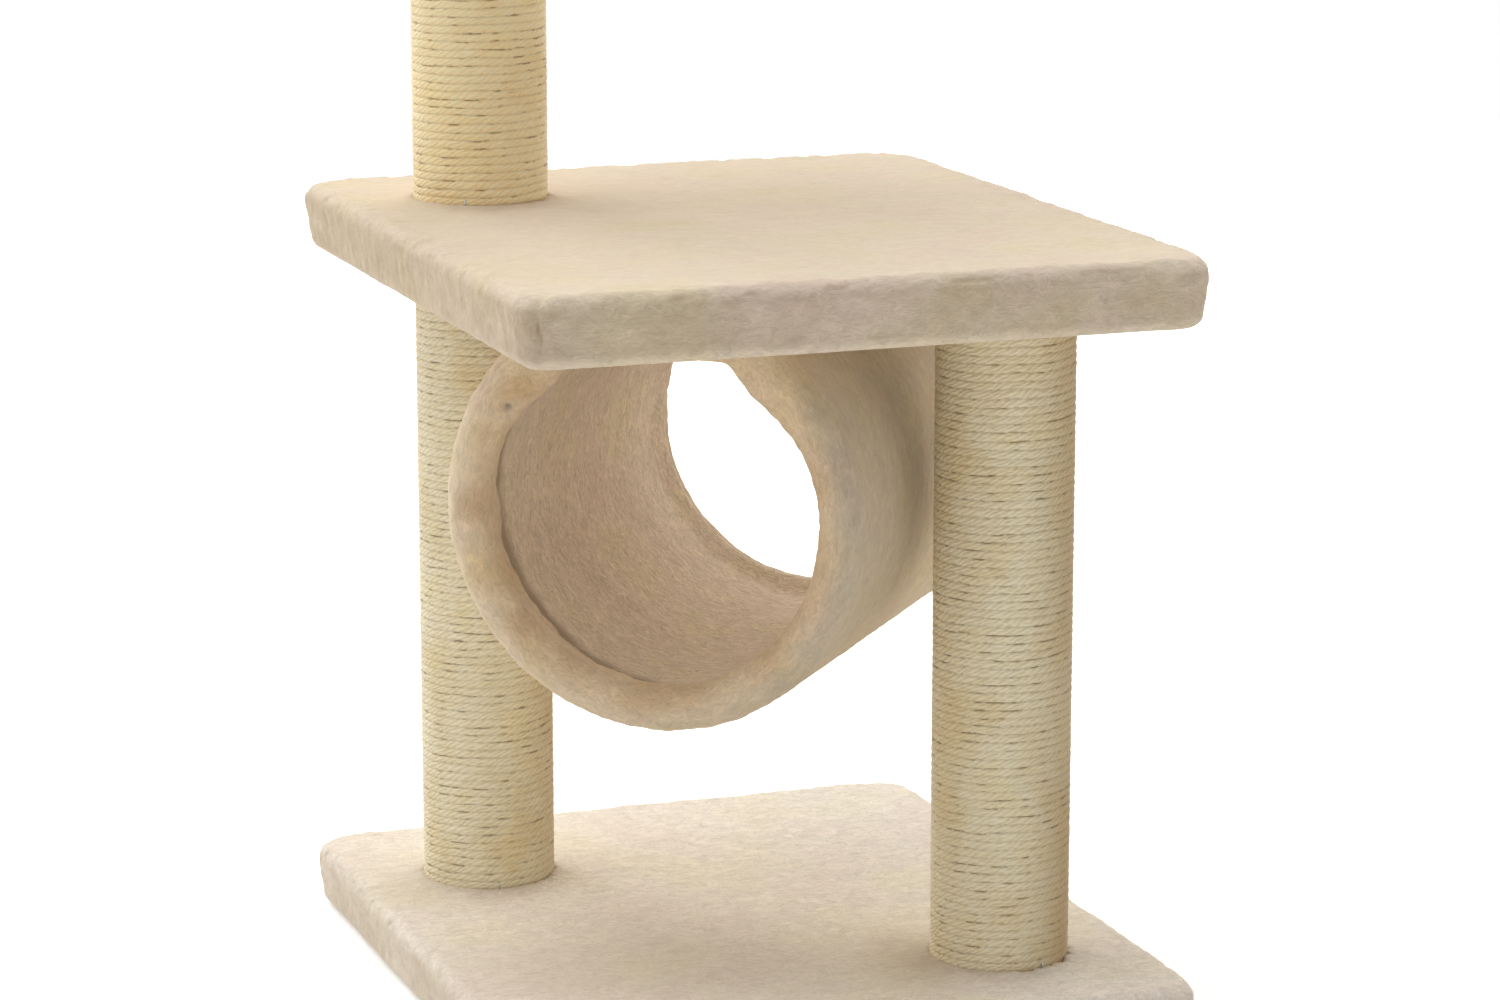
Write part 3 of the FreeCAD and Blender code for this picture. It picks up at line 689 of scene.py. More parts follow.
ropeLook = {
    "pitch": 3.6 * mm,
    "groove": 0.52 * mm,
    "roundness": 2.2,
    "rowsPerTurn": 8,
    "columns": 120,
    "flutter": [(0.55 * mm, 14 * mm, 0, 2.5)],  # turns go up and down; each rope adds its seed
    "lively": [(0.16 * mm, 9 * mm, 1, 3)],  # turns lie deeper and less deep
    "ropeShadePatches": [(0.2, 24 * mm, 2, 0.4)],
    "sunk": 0.05 * mm,
    "strand": 4.2 * mm,
    "lean": 1.7,
    "strandTurn": math.radians(-24),
    "fibre": (6 * mm, 0.55 * mm),
    "paleLight": "FFF6DA",
    "paleDark": "E4D4A8",
    "goldLight": "FFF1C8",
    "goldDark": "FFDFA6",
    "tanTint": "F8EFDE",
    "paleTint": "FFFBEE",
    "paleGrooveShade": "86704A",
    "goldGrooveShade": "8E6636",
    "fleck": "8C5A3A",
    "aged": "BC9F6E",
}


# Twisted sisal: stiff pale plant fibre. Each turn is a round rope whose strands show as faint
# slanted ridges, with thin fibres along them, painted shade in the gaps between turns, darkest
# where turns lie apart, and a few reddish flecks. The texture runs along the rope, in metres.
# One attribute says how deep in a groove a point lies, for the painted shade there, and another
# how much painted shade darkens and yellows that side of the rope.
def sisalMaterial(name, light, dark, deep):
    look = ropeLook
    settings = {"Roughness": 0.7, "Specular IOR Level": 0.3, "Sheen Weight": 0.1}
    material, add, shader, place = newMaterial(name, settings, True)
    parts = add("SeparateXYZ", links={0: place})
    wobble = add("TexNoise", {"Scale": 1 / (9 * mm), "Detail": 2}, {"Vector": place})
    across = add("Math", {"operation": "DIVIDE", 1: look["pitch"]}, {0: (parts, "Y")})
    along = add("Math", {"operation": "DIVIDE", 1: look["strand"]}, {0: (parts, "X")})
    loose = add("Math", {"operation": "MULTIPLY_ADD", 1: 2.2}, {0: wobble, 2: along})
    slant = add("Math", {"operation": "MULTIPLY_ADD", 1: -look["lean"]}, {0: across, 2: loose})
    fold = add("Math", {"operation": "PINGPONG", 1: 0.5}, {0: slant})
    settings = {"interpolation_type": "SMOOTHSTEP", "From Min": 0.0, "From Max": 0.5}
    ridge = add("MapRange", settings, {0: fold})
    # fibres: noise stretched along the strands' slant
    length, width = look["fibre"]
    settings = {"Rotation": (0, 0, look["strandTurn"]), "Scale": (1 / length, 1 / width, 1)}
    turned = add("Mapping", settings, {"Vector": place})
    settings = {"Scale": 1.0, "Detail": 3, "Roughness": 0.6, "Distortion": 0.5}
    fibres = add("TexNoise", settings, {"Vector": turned})
    tone = add("Math", {"operation": "MULTIPLY_ADD", 1: 0.24}, {0: ridge, 2: fibres})
    colour = add("ValToRGB", {"stops": [(0.37, dark), (0.72, light)]}, {"Fac": tone})
    solid = (add("TexCoord"), "Object")
    stretch = add("TexNoise", {"Scale": 1 / (32 * mm), "Detail": 5}, {"Vector": solid})
    stops = [(0.3, look["tanTint"]), (0.52, "FFFFFF"), (0.7, look["paleTint"])]
    broad = add("ValToRGB", {"stops": stops}, {"Fac": stretch})
    colour = add("VectorMath", {"operation": "MULTIPLY"}, {0: colour, 1: broad})
    # painted shade in the gaps between turns, most of all where the windings lie apart
    groove, aged = ((add("Attribute", {"attribute_name": key}), "Fac") for key in ("gap", "aged"))
    apart = add("TexNoise", {"Scale": 1 / (8 * mm), "Detail": 3}, {"Vector": place})
    wide = add("MapRange", {"From Min": 0.54, "From Max": 0.66}, {0: apart})
    gap = add("Math", {"operation": "MULTIPLY", "use_clamp": True}, {0: groove, 1: wide})
    settings = {"operation": "MULTIPLY_ADD", "use_clamp": True, 1: 0.16}
    dim = add("Math", settings, {0: groove, 2: gap})
    specks = add("TexNoise", {"Scale": 0.55, "Detail": 1}, {"Vector": turned})
    speck = add("MapRange", {"From Min": 0.74, "From Max": 0.78, "To Max": 0.6}, {0: specks})
    # painted shade on the rope's sides, painted shade in the gaps and the flecks lie over each other
    for code, share in ((look["aged"], aged), (deep, dim), (look["fleck"], speck)):
        colour = (add("Mix", {"data_type": "RGBA", 7: linear(code)}, {0: share, 6: colour}), 2)
    rough = add("Math", {"operation": "MULTIPLY_ADD", 1: 0.8}, {0: ridge, 2: fibres})
    finishSurface(add, shader, colour, rough, 0.7, 0.4 * mm)
    return material


# A rope wound round a core. Height = pitch x (turn + angle / full turn), and the radius follows
# the half round of each rope turn, so that neighbouring turns share their groove. The two cut
# ends and the step that each leaves are closed. The sides that get painted shade are given as
# degrees and strength.
def makeRope(name, node, material, seed, aged):
    look = ropeLook
    size, foot = boxOf(node)
    outer, length = size[0] / 2, size[2]
    bottom = outer - look["groove"]
    inner = boxOf(node.replace("rope", "core"))[0][0] / 2 + 0.02 * mm
    turns = int(length / look["pitch"]) - 1
    pitch = length / (turns + 1)
    per, columns = look["rowsPerTurn"], look["columns"]
    rows = per * turns + 1
    angle = np.arange(columns + 1) / columns * 2 * math.pi

    def noiseOf(points, layers):
        return layered(points, [(amount, lump, seed + k, flat) for amount, lump, k, flat in look[layers]])

    def ropePoints(row, column):
        part = (row % per) / per
        bulge = np.sqrt(np.maximum(1 - np.abs(2 * part - 1) ** look["roundness"], 0))
        turn = angle[column]
        height = pitch * (row / per + column / columns)
        radius = bottom + look["groove"] * bulge
        base = polar(outer, turn, height)
        fromEnds = fade(np.minimum(height, length - height) / (2 * pitch))
        height = height + fromEnds * noiseOf(base, "flutter")
        radius = radius - np.abs(noiseOf(base, "lively")) - look["sunk"]
        return polar(radius, turn, height)

    # the winding: a column's last point is also the first one of the next turn
    row, column = np.meshgrid(np.arange(rows), np.arange(columns), indexing="ij")
    body = ropePoints(row, column).reshape(-1, 3)
    index = np.arange(rows * columns).reshape(rows, columns)
    extra = ropePoints(np.arange(rows, rows + per), np.zeros(per, int))
    lastRows = np.arange(rows * columns, rows * columns + per)
    wide = np.hstack([index, np.concatenate([index[per:, 0], lastRows])[:, None]])

    # both ends: a ring at the bottom or top, and the tube's inside
    base = len(body) + per
    floorRing = np.concatenate([[0], base + np.arange(columns - 1)])
    ceilRing = np.concatenate([[lastRows[-1]], base + columns - 1 + np.arange(columns - 1)])
    insideLow = base + 2 * (columns - 1) + np.arange(columns)
    insideHigh = insideLow + columns
    rings = [polar(bottom, angle[1:-1], height) for height in (0, length)]
    rings += [polar(inner, angle[:-1], height) for height in (0, length)]
    vertices = np.concatenate([body, extra, *rings])
    lowStep = np.column_stack([floorRing[1:], np.roll(floorRing, -1)[1:], wide[0, 2:], wide[0, 1:-1]])
    highStep = np.column_stack([wide[-1, :-2], wide[-1, 1:-1], ceilRing[1:], ceilRing[:-1]])
    walls = [(insideLow, floorRing), (ceilRing, insideHigh), (insideHigh, insideLow)]
    walls = [np.column_stack([a, np.roll(a, -1), np.roll(b, -1), b]) for a, b in walls]
    lowTip = [floorRing[0], floorRing[1], wide[0, 1]]
    highTip = [wide[-1, -2], ceilRing[0], ceilRing[-1]]
    cuts = np.array([wide[: per + 1, 0], np.concatenate([[wide[-1, 0]], lastRows])[::-1]])
    groups = [quadsOf(wide), lowStep, highStep, *walls, np.array([lowTip, highTip]), cuts]

    # texture places: metres along the rope and across it
    turn = (np.arange(rows - 1) // per)[:, None, None]
    part = (np.arange(rows - 1) % per)[:, None, None]
    stepRow, stepColumn = np.array([0, 0, 1, 1]), np.array([0, 1, 1, 0])
    turn = turn + (np.arange(columns)[None, :, None] + stepColumn) / columns
    across = (part + stepRow) / per * pitch + 0 * turn
    ropePlaces = np.stack([turn * 2 * math.pi * outer, across], axis=-1).reshape(-1, 4, 2)
    places = [ropePlaces] + [np.zeros(group.shape + (2,)) for group in groups[1:]]

    # painted shade in the grooves and on the ends' steps, weaker near the rope's two ends
    part = (row % per) / per
    groove = np.minimum(part, 1 - part).ravel()
    gap = np.zeros(len(vertices))
    gap[: len(body)] = np.where(groove < 0.01, 1, np.where(groove < 0.14, 0.35, 0))
    gap[base : base + 2 * (columns - 1)] = 0.8
    gap[np.minimum(vertices[:, 2], length - vertices[:, 2]) < 1.3 * pitch] *= 0.25
    # painted shade, darker and yellower, on the given sides of the rope, in uneven patches
    turn = np.arctan2(vertices[:, 1], vertices[:, 0])
    tones = [power * fade(np.cos(turn - math.radians(side))) ** 3 for side, power in aged.items()]
    ropeSideShade = sum(tones) * (1 + noiseOf(vertices, "ropeShadePatches"))
    mesh = makeMesh(name, vertices + foot, groups, places, {"gap": gap, "aged": ropeSideShade})
    addPiece(mesh, material, [node])


paleSisal = sisalMaterial("paleSisal", ropeLook["paleLight"], ropeLook["paleDark"], ropeLook["paleGrooveShade"])
goldSisal = sisalMaterial("goldenSisal", ropeLook["goldLight"], ropeLook["goldDark"], ropeLook["goldGrooveShade"])
# each rope's sides that get painted shade: degrees and strength
makeRope("leftRope", "left_post_rope", paleSisal, 11, {195: 0.1, 344: 0.7})
makeRope("rightRope", "right_post_rope", paleSisal, 21, {195: 0.2, 324: 0.85})
makeRope("upperRope", "upper_post_rope", goldSisal, 31, {})

hairLook = {
    "thick": 0.13 * mm,
    "taper": 0.85,
    "rings": 9,
    "sides": 3,
    "length": (6 * mm, 22 * mm),
    "lift": (0.2 * mm, 1.5 * mm),
    "lifted": (1.8, 3.1),  # how much of a half wave the lift goes through
    "rise": (0.25, 0.28),  # mean and spread of the angle at which they run up
    "sway": 0.06,
    "rooted": 0.15 * mm,
    "ends": (6 * mm, 8 * mm),  # the rope's ends stay free of hairs
}


# Loose sisal hairs along a rope: three-sided threads that run round it at a small angle, while
# a sine wave lifts them off its surface.
def makeHairs(name, rope, count, seed):
    look = hairLook
    size, foot = boxOf(rope)
    chance = np.random.default_rng(seed)
    share = np.linspace(0, 1, look["rings"])[None]
    each = (count, 1)
    start = chance.uniform(0, 2 * math.pi, each)
    length = chance.uniform(*look["length"], each)
    mean, spread = look["rise"]
    rise = chance.normal(0, spread, each) + mean
    lift = chance.uniform(*look["lift"], each) * np.sin(share * chance.uniform(*look["lifted"], each))
    angle = start + length * share * np.cos(rise) / (size[0] / 2)
    low, high = look["ends"]
    height = chance.uniform(foot[2] + low, foot[2] + size[2] - high, each)
    height = height + length * (share * np.sin(rise) + look["sway"] * np.sin(share * 5 + start))
    thick = look["thick"] * (1 - look["taper"] * share)
    points = []
    for turn in np.arange(look["sides"]) / look["sides"] * 2 * math.pi:
        radius = size[0] / 2 - look["rooted"] + lift + thick * math.cos(turn)
        points.append(polar(radius, angle, height + thick * math.sin(turn)))
    points = np.stack(points, axis=2).reshape(-1, 3) + foot * [1, 1, 0]
    index = np.arange(len(points)).reshape(count, look["rings"], -1)
    sides = np.concatenate([quadsOf(closed(hair)) for hair in index])
    groups = [sides, np.concatenate([index[:, 0, ::-1], index[:, -1]])]
    places = [np.zeros(group.shape + (2,)) for group in groups]
    tones = {"gap": np.zeros(len(points)), "aged": np.zeros(len(points))}
    addPiece(makeMesh(name, points, groups, places, tones), paleSisal)


makeHairs("leftHairs", "left_post_rope", 70, 5)
makeHairs("rightHairs", "right_post_rope", 90, 6)
makeHairs("upperHairs", "upper_post_rope", 60, 7)
print("ropes done")


tunnelLook = {
    "turn": math.radians(49.8),
    "length": 228 * mm,
    "radius": 93.5 * mm,  # the section's big arc, to the cover's outside
    "flat": 82 * mm,  # the flat top's height over that arc's centre
    "shoulder": 45 * mm,  # radius of the arcs between both
    "core": 10 * mm,  # inset of the core's inside
    "plush": 4 * mm,
    "wall": 20 * mm,  # thickness of a rim's roll
    "rim": 23 * mm,  # a rim's length along the tunnel
    "rounding": 9.4 * mm,
    "hemEdge": 17.4 * mm,
    "hemRound": 1.7 * mm,
    "topSlack": 0.95,  # how much thinner the rims are where they are pressed flat
    "shoulderSwell": 0.8,
    "backSlack": 0.55,
    "columnStep": 1.6 * mm,
    "staple": (111.5 * mm, 16.4 * mm, 34),  # along, inset, and degrees up the section
    "dimple": (2.4 * mm, 1.6 * mm),  # depth and width
    # layers of noise: amount, size and seed
    "dents": [(0.2 * mm, 34 * mm, 41), (0.16 * mm, 12 * mm, 42)],
    "tufts": [(0.2 * mm, 5 * mm, 43), (0.2 * mm, 2.8 * mm, 48)],
    "rimRelief": [(0.15 * mm, 15 * mm, 44), (0.2 * mm, 6 * mm, 45), (0.32 * mm, 3 * mm, 49)],
    "sunk": 0.3 * mm,
    "wander": [(3.6 * mm, 22 * mm, 46), (3.4 * mm, 8 * mm, 47)],
    "lumps": [(0.8 * mm, 5.5 * mm, 58)],
    "tanPatches": [(1, 17 * mm, 50)],
    "paintedCreaseShade": 0.9,
    "outsideGreyAndShade": 0.36,
    "liningShade": 0.8,
    "topShade": 0.34,
    "clouds": [(0.22, 40 * mm, 55)],
    "streaks": [(0.14, 2.6 * mm, 56), (0.098, 6 * mm, 57)],
    "creaseWidth": 1.5 * mm,
    "liningRelief": [(0.5 * mm, 24 * mm, 51), (0.3 * mm, 8 * mm, 52)],
    "liningWander": [(2 * mm, 20 * mm, 53), (1.2 * mm, 6 * mm, 54)],
}
tunnelLook["half"] = tunnelLook["length"] / 2
tunnelLook["seam"] = tunnelLook["half"] - tunnelLook["rim"]  # the front rim's hem ends here
tunnelLook["inner"] = tunnelLook["core"] + tunnelLook["plush"]  # the lining's inset


# Outline of the tunnel's section and its outward normals, evenly spaced along it: a big arc
# below, a flat top, and two smaller arcs that join them smoothly.
def tunnelOutline(look, count):
    radius, flat, shoulder = look["radius"], look["flat"], look["shoulder"]
    rise = flat - shoulder
    reach = math.sqrt((radius - shoulder) ** 2 - rise**2)
    touch = math.atan2(rise, reach)
    fine, coarse = 2000, 400
    bowl = np.linspace(math.pi - touch, 2 * math.pi + touch, fine)
    right = np.linspace(touch, math.pi / 2, coarse)
    left = np.linspace(math.pi / 2, math.pi - touch, coarse)
    turn = np.concatenate([bowl, right, left])
    normals = np.stack([np.cos(turn), np.sin(turn)], axis=-1)
    arcs = [((0, 0), radius, fine), ((reach, rise), shoulder, coarse), ((-reach, rise), shoulder, coarse)]
    centres = np.concatenate([np.tile(centre, (many, 1)) for centre, size, many in arcs])
    sizes = np.concatenate([np.full((many, 1), size) for centre, size, many in arcs])
    line = centres + normals * sizes
    steps = np.linalg.norm(np.diff(line, axis=0, append=line[:1]), axis=-1)
    lengths = np.concatenate([[0], np.cumsum(steps)])
    both = np.hstack([line, normals])
    both = np.concatenate([both, both[:1]])
    even = np.arange(count) / count * lengths[-1]
    both = np.stack([np.interp(even, lengths, both[:, k]) for k in range(4)], axis=-1)
    normal = both[:, 2:] / np.linalg.norm(both[:, 2:], axis=-1, keepdims=True)
    return both[:, :2], normal, lengths[-1]


# Resamples a path of (along, inset) points to even steps.
def evenPath(path, step):
    path = np.array(path)
    lengths = np.concatenate([[0], np.cumsum(np.linalg.norm(np.diff(path, axis=0), axis=-1))])
    even = np.linspace(0, lengths[-1], max(int(lengths[-1] / step), 2) + 1)
    return np.stack([np.interp(even, lengths, path[:, k]) for k in (0, 1)], axis=-1)


def arcOf(centre, radius, start, end, step):
    turn = np.radians(np.linspace(start, end, 12))
    return evenPath(np.array(centre) + radius * np.stack([np.cos(turn), np.sin(turn)], axis=-1), step)


# The back rim's fall from the roll's crest to the lining: an S curve of (along, inset) points.
def backFall(look, start, count):
    share = np.linspace(start, 1, count)
    crest = look["half"] - look["rounding"]
    along = crest - share * (crest - look["seam"])
    return np.column_stack([along, look["wall"] + (look["inner"] - look["wall"]) * ease(share)])


# One rim's path from the mouth's outer edge round the roll, back along the lining to the hem's
# free edge, and out again behind the roll and round the core's end. The front hem ends in a
# soft edge on the lining, and the back one lies under it.
def rimPath(look, front):
    half, wall, r = look["half"], look["wall"], look["rounding"]
    core, inner, seam = look["core"], look["inner"], look["seam"]
    if front:
        edge, hemTop, tail = look["hemRound"], look["hemEdge"], inner - 0.1 * mm
        fall = [(half - r - mm, wall - 0.1 * mm), (seam + edge + 0.5 * mm, hemTop)]
        hem = [
            evenPath(fall, 1.6 * mm),
            arcOf((seam + edge, hemTop - edge), edge, 90, 180, 0.9 * mm),
            [(seam, inner + 0.15 * mm)],
        ]
    else:
        hem, tail = [backFall(look, 0.08, 9) - [0, 1.3 * mm]], inner - 1.5 * mm
    roll = [
        arcOf((half - r, r), r, -90, 0, 1.5 * mm)[1:],
        arcOf((half - r, wall - r), r, 0, 90, 1.5 * mm)[1:],
    ]
    behind = [(seam + 6 * mm, tail), (seam + 6.3 * mm, core), (half - core - mm, core)]
    end = [(half - core, core - 0.5 * mm), (half - core, 4.2 * mm), (half - core - mm, 4 * mm)]
    return np.concatenate([*roll, *hem, behind, end])


# Carries a path of (along, inset) points round the section: point = outline - inset x normal,
# then turned and moved to the tunnel's place. What lies past the lining swells at the
# shoulders, where the padding gathers, and is pressed thin along the flat top and on one side
# of the back rim. Returns the points and how far along each one is.
def carryRound(look, outline, normals, path):
    inner = look["inner"]
    rise = np.degrees(np.arcsin(np.clip(normals[:, 1], -1, 1)))
    gathered = look["shoulderSwell"] * bell((rise - 50) / 20)
    factor = 1 + gathered - ease(fade((rise - 70) / 18)) * look["topSlack"]
    worn = 1 - look["backSlack"] * fade(normals[:, 0])
    factor = np.where(path[:, :1] > 0, factor * worn, factor)
    inset = path[:, 1:]
    inset = np.minimum(inset, inner) + np.maximum(inset - inner, 0) * factor
    section = outline[None] - normals[None] * inset[..., None]
    across, level = section[..., 0], section[..., 1]
    along = path[:, :1] + 0 * across
    size, foot = boxOf("tunnel_cover")
    cos, sin = math.cos(look["turn"]), math.sin(look["turn"])
    x = foot[0] + along * cos - across * sin
    y = foot[1] + along * sin + across * cos
    return np.stack([x, y, foot[2] + size[2] - look["flat"] + level], axis=-1), along


# The mesh of a grid that is closed both ways. Texture places are metres round the tunnel and
# along the path.
def shellMesh(name, points, path, around, tones):
    rows, count = points.shape[:2]
    grid = closed(np.arange(rows * count).reshape(rows, count), True)
    steps = np.linalg.norm(np.diff(path, axis=0, append=path[:1]), axis=-1)
    lengths = np.concatenate([[0], np.cumsum(steps)])
    places = np.stack(np.meshgrid(np.arange(count + 1) / count * around, lengths), axis=-1)
    tones = {key: np.broadcast_to(values, (rows, count)) for key, values in tones.items()}
    return makeMesh(name, points.reshape(-1, 3), [quadsOf(grid)], [quadsOf(places)], tones)


# The cover with both rims: the outside, the back rim, the inside of the cover and the front rim
# are one closed path. Noise moves the surface along its normals.
def makeTunnelCover(look, material):
    half, seam, inner, core = look["half"], look["seam"], look["inner"], look["core"]
    count = int(590 * mm / look["columnStep"])
    outline, normals, around = tunnelOutline(look, count)
    front, back = rimPath(look, True), rimPath(look, False)
    outside = evenPath([(-half + look["rounding"], 0), (half - look["rounding"], 0)], 1.8 * mm)
    ends = half - core - 12 * mm
    under = evenPath([(ends, 4 * mm), (-ends, 4 * mm)], 12 * mm)
    path = np.concatenate([outside, back, under, front[::-1] * [-1, 1]])
    far, depth = path[:, :1], path[:, 1:]
    points, along = carryRound(look, outline, normals, path)
    moved = gridNormals(points, True)

    seen = 1 - ((depth > 3.9 * mm) & (np.abs(far) < half - 9 * mm) & (depth < inner + 0.1 * mm))
    top = fade((look["flat"] - 5 * mm - outline[:, 1]) / (25 * mm))
    atRim = fade((np.abs(far) - (seam - 4 * mm)) / (10 * mm))
    amount = layered(points, look["dents"] + look["tufts"])
    amount += atRim * layered(points, look["rimRelief"])
    amount = (amount - look["sunk"]) * seen * (0.25 + 0.75 * top)
    # a staple pulls a small dimple into the front rim
    place, inset, rise = look["staple"]
    deep, wide = look["dimple"]
    turned = np.arange(count) / count * around
    level = np.degrees(np.arctan2(normals[:, 1], normals[:, 0]))
    aside = 0.7 * (turned - turned[np.argmin(np.abs(level - rise))])
    dimple = bell(np.hypot(np.hypot(far + place, depth - inset), aside) / wide)
    amount -= deep * dimple
    points = points + moved * amount[..., None]
    # the hem's free edge wanders along the lining and is lumpy
    nearHem = bell((far + seam) / (5 * mm)) * (depth > inner)
    direction = np.array([math.cos(look["turn"]), math.sin(look["turn"]), 0])
    wander = layered(points, look["wander"]) * nearHem
    points = points + direction * wander[..., None]
    lumps = layered(points, look["lumps"]) * nearHem * (depth > inner + 0.5 * mm)
    points = points + moved * lumps[..., None]
    size, foot = boxOf("tunnel_cover")
    points[..., 2] = np.minimum(points[..., 2], foot[2] + size[2] - 0.05 * mm)

    # a tan colour: painted shade in the front rim's crease and the staple's dimple, and towards
    # both rims' inside partly painted shade and partly the pile's own tone, in uneven patches
    crease = bell((far + seam) / look["creaseWidth"]) * (depth > inner - mm)
    inward = fade((depth - 4 * mm) / (9 * mm))
    tan = atRim * inward * (0.3 + 0.45 * fade(layered(points, look["tanPatches"]) + 0.1))
    tan = np.maximum(np.maximum(tan, look["paintedCreaseShade"] * crease), dimple)
    # the outside has the pile's own greyer tone, in clouds and in brushed streaks that run round it,
    # with painted shade that darkens one side, and less of all of it near the flat top
    body = look["outsideGreyAndShade"] * (1 - inward) * (1 + layered(points, look["clouds"])) * (0.1 + 0.9 * top)
    nap = np.stack([along, 0.2 * turned + 0 * along, 0 * along], axis=-1)
    body = body * (0.6 - 0.4 * normals[:, 0]) * (1 + layered(nap, look["streaks"]))
    # painted shade in the crease and the dimple, over the outside's tone
    pressed = np.maximum(np.maximum(0.6 * crease, 0.8 * dimple), body)
    tones = {"pressed": pressed, "tan": tan, "ruffle": 1}
    mesh = shellMesh("tunnelPlush", points, path, around, tones)
    solids = ["tunnel_cover", "tunnel_front_padding", "tunnel_back_padding"]
    piece = addPiece(mesh, material, solids)


# The lining: flat on the core from the front hem to the back rim, where it rises in an S curve
# under the roll, and back along the core.
def makeTunnelLining(look, material):
    seam, inner = look["seam"], look["inner"]
    half, outer = seam + 5 * mm, look["core"] + 0.1 * mm
    outline, normals, around = tunnelOutline(look, int(500 * mm / look["columnStep"]))
    rise = backFall(look, 0.03, 14)[::-1]
    inside = np.concatenate([evenPath([(-half, inner), (seam - mm, inner)], 1.7 * mm), rise])
    outside = evenPath([(seam - 3 * mm, outer), (-half, outer)], 14 * mm)
    path = np.concatenate([inside, rise[::-1] - [0.3 * mm, 0.8 * mm], outside])
    far, depth = path[:, :1], path[:, 1:]
    points = carryRound(look, outline, normals, path)[0]
    seen = np.zeros((len(path), 1))
    seen[2 : len(inside), 0] = fade(np.arange(len(inside) - 2)[::-1] / 6)
    relief = layered(points, look["liningRelief"]) * seen
    points = points + gridNormals(points, True) * relief[..., None]
    # painted shade: a wavering band that the front rim's edge leaves in shade, and the lining's
    # upper part under the tunnel's top
    away = far + seam - layered(points, look["liningWander"])
    pressed = look["liningShade"] * fade((17 * mm - away) / (9 * mm)) ** 1.5 * (depth > inner - mm)
    pressed = np.maximum(pressed, look["topShade"] * fade(normals[:, 1]))
    mesh = shellMesh("tunnelLining", points, path, around, {"pressed": pressed, "ruffle": 1})
    piece = addPiece(mesh, material, ["tunnel_lining"])


liningLook = dict(plushLook, cream="F0DFC9", pink="ECD9C4", yellow="EEDEC1", pressed="987C5F")
liningLook.update(lockContrast=0.3, relief=0.5 * mm)
outerLook = dict(liningLook, cream="EAD6B8", pink="EAD2B5", yellow="E9D3AC", pressed="948E84")
outerLook.update(tan="C8A67B", lockContrast=0.17, relief=0.3 * mm, patch=35 * mm)
makeTunnelCover(tunnelLook, plushMaterial("tunnelPlush", outerLook, True))
makeTunnelLining(tunnelLook, plushMaterial("liningPlush", liningLook, True))
print("tunnel done")

fittingLook = {
    "board": {"glued": "A98A62", "pale": "C9AD82", "dark": "8A6E4C"},
    "core": {"paper": "A88F70", "fibre": "B89F80"},
    "cap": {"black": "1E1E20", "worn": "2A2A2D"},
    "zinc": {"bright": "D2D4D6", "dull": "B9BCC0", "ropeSideShade": "9A8F6C"},
}


# Particle board: pressed wood chips of many sizes, each a little lighter or darker than the
# next, in a matt glue-bound face.
def particleBoard(look):
    settings = {"Roughness": 0.8, "Specular IOR Level": 0.25}
    material, add, shader, place = newMaterial("particleBoard", settings)
    flat = add("Mapping", {"Scale": (1, 0.45, 1)}, {"Vector": place})
    chips = add("TexVoronoi", {"Scale": 1 / (2.6 * mm), "Randomness": 1.0}, {"Vector": flat})
    tone = add("SeparateColor", links={0: (chips, "Color")})
    dust = add("TexNoise", {"Scale": 1 / (0.8 * mm), "Detail": 4}, {"Vector": place})
    both = add("Math", {"operation": "MULTIPLY_ADD", 1: 0.5}, {0: tone, 2: dust})
    stops = [(0.35, look["dark"]), (0.6, look["glued"]), (0.9, look["pale"])]
    colour = add("ValToRGB", {"stops": stops}, {"Fac": both})
    finishSurface(add, shader, colour, both, 0.5, 0.2 * mm)
    return material


# Grey board wound into a tube: soft paper with a faint fibre mottle and slanted ply edges.
def cardboard(look):
    settings = {"Roughness": 0.9, "Specular IOR Level": 0.2}
    material, add, shader, place = newMaterial("cardboard", settings)
    settings = {"Scale": 1 / (1.5 * mm), "Detail": 5, "Roughness": 0.7}
    fibres = add("TexNoise", settings, {"Vector": place})
    settings = {"bands_direction": "Z", "Scale": 4.0, "Distortion": 1.5}
    plies = (add("TexWave", settings, {"Vector": place}), 1)
    both = add("Math", {"operation": "MULTIPLY_ADD", 1: 0.25}, {0: plies, 2: fibres})
    stops = [(0.4, look["paper"]), (0.85, look["fibre"])]
    colour = add("ValToRGB", {"stops": stops}, {"Fac": both})
    finishSurface(add, shader, colour, fibres, 0.4, 0.1 * mm)
    return material


# Moulded black plastic: satin, with the fine spark texture of its mould.
def capPlastic(look):
    material, add, shader, place = newMaterial("capPlastic", {"Roughness": 0.45})
    grain = add("TexNoise", {"Scale": 1 / (0.5 * mm), "Detail": 2}, {"Vector": place})
    stops = [(0.35, look["black"]), (0.65, look["worn"])]
    colour = add("ValToRGB", {"stops": stops}, {"Fac": grain})
    finishSurface(add, shader, colour, grain, 0.3, 0.05 * mm)
    return material


# Zinc plated steel: dull bright metal with faint clouds of yellow passivation.
def zincSteel(look):
    material, add, shader, place = newMaterial("zincSteel", {"Metallic": 1.0})
    clouds = add("TexNoise", {"Scale": 1 / (4 * mm), "Detail": 4}, {"Vector": place})
    stops = [(0.3, look["ropeSideShade"]), (0.5, look["dull"]), (0.7, look["bright"])]
    colour = add("ValToRGB", {"stops": stops}, {"Fac": clouds})
    rough = add("MapRange", {"To Min": 0.28, "To Max": 0.5}, {0: clouds})
    join(shader, {"Base Color": colour, "Roughness": rough})
    return material


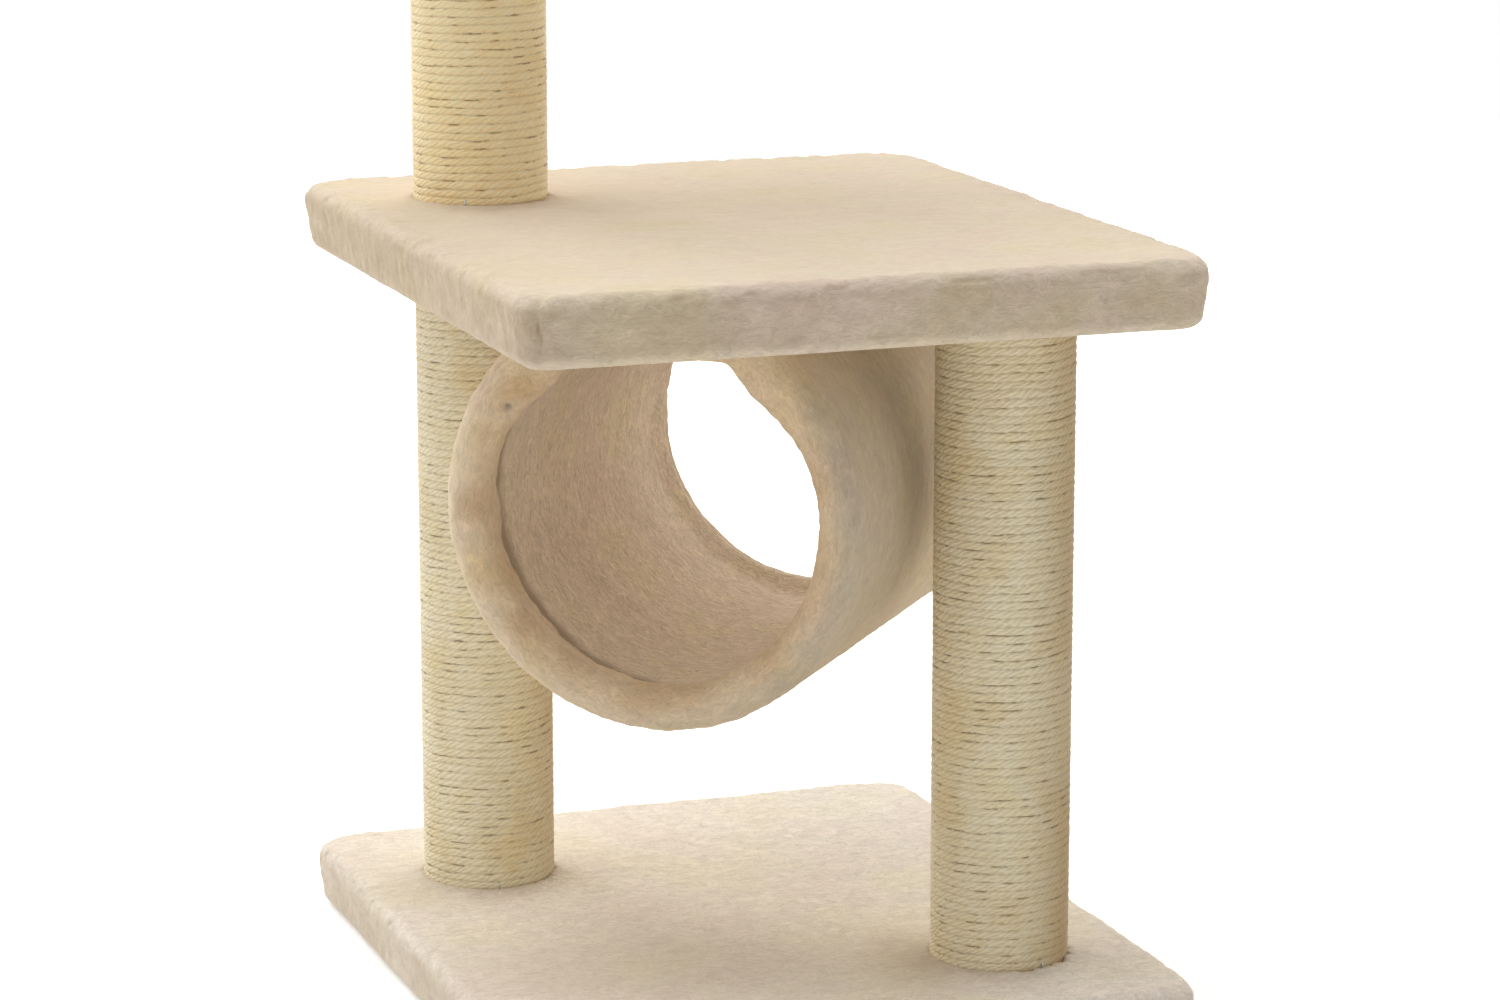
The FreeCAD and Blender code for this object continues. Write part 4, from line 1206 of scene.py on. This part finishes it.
# boards, cores and caps by their names' last word, and all other bare nodes are steel
zinc = zincSteel(fittingLook["zinc"])
fittings = {
    "board": particleBoard(fittingLook["board"]),
    "core": cardboard(fittingLook["core"]),
    "cap": capPlastic(fittingLook["cap"]),
}
for node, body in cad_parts.items():
    if not node.endswith(("cover", "rope", "liner", "lining", "padding")):
        body.data.materials.clear()
        body.data.materials.append(fittings.get(node.rsplit("_", 1)[-1], zinc))

stapleLook = {
    "wire": 0.35 * mm,
    "sides": 8,
    "crown": (0.35 * mm, 1.7 * mm),  # how far it stands out, and half its height
    "legs": 2.5 * mm,
    "fromEnd": 3.5 * mm,
}


# Wire staples that hold the ropes' ends: each a bent round wire whose crown crosses one turn,
# with its legs in the rope. The wire's ring is carried along this path of (outward, upward)
# points.
def makeStaples(material, ropes):
    look = stapleLook
    (out, half), sides = look["crown"], look["sides"]
    lower = [(-look["legs"], 0), (-0.3 * mm, 0), (0.1 * mm, 0.2 * mm), (out, 0.6 * mm)]
    path = np.array([(x, z - half) for x, z in lower] + [(x, half - z) for x, z in lower[::-1]])
    along = np.gradient(path, axis=0)
    along = along / np.linalg.norm(along, axis=-1, keepdims=True)
    turns = np.arange(sides) / sides * 2 * math.pi
    upward = np.array([0, 0, 1])
    index = np.arange(len(path) * sides).reshape(len(path), sides)
    vertices, quads, caps = [], [], []
    for rope, low, high in ropes:
        size, foot = boxOf(rope)
        for degrees, height in ((low, look["fromEnd"]), (high, size[2] - look["fromEnd"])):
            angle = math.radians(degrees)
            outward = np.array([math.cos(angle), math.sin(angle), 0])
            sideways = np.array([-math.sin(angle), math.cos(angle), 0])
            centre = foot + outward * size[0] / 2 + upward * height
            spine = centre + path[:, :1] * outward + path[:, 1:] * upward
            normal = along[:, 1:] * outward - along[:, :1] * upward
            ring = np.cos(turns)[None, :, None] * normal[:, None]
            ring = ring + np.sin(turns)[None, :, None] * sideways
            numbers = index + len(vertices) * index.size
            vertices.append((spine[:, None] + look["wire"] * ring).reshape(-1, 3))
            quads.append(quadsOf(closed(numbers)))
            caps += [numbers[0, ::-1], numbers[-1]]
    mesh = makeMesh("ropeStaples", np.concatenate(vertices), [np.concatenate(quads), np.array(caps)])
    addPiece(mesh, material)


# each rope with the degrees of its lower and its upper end
ropeEnds = [("left_post_rope", -98, -9), ("right_post_rope", -75, -9), ("upper_post_rope", -120, -9)]
makeStaples(zinc, ropeEnds)
print("fittings done")
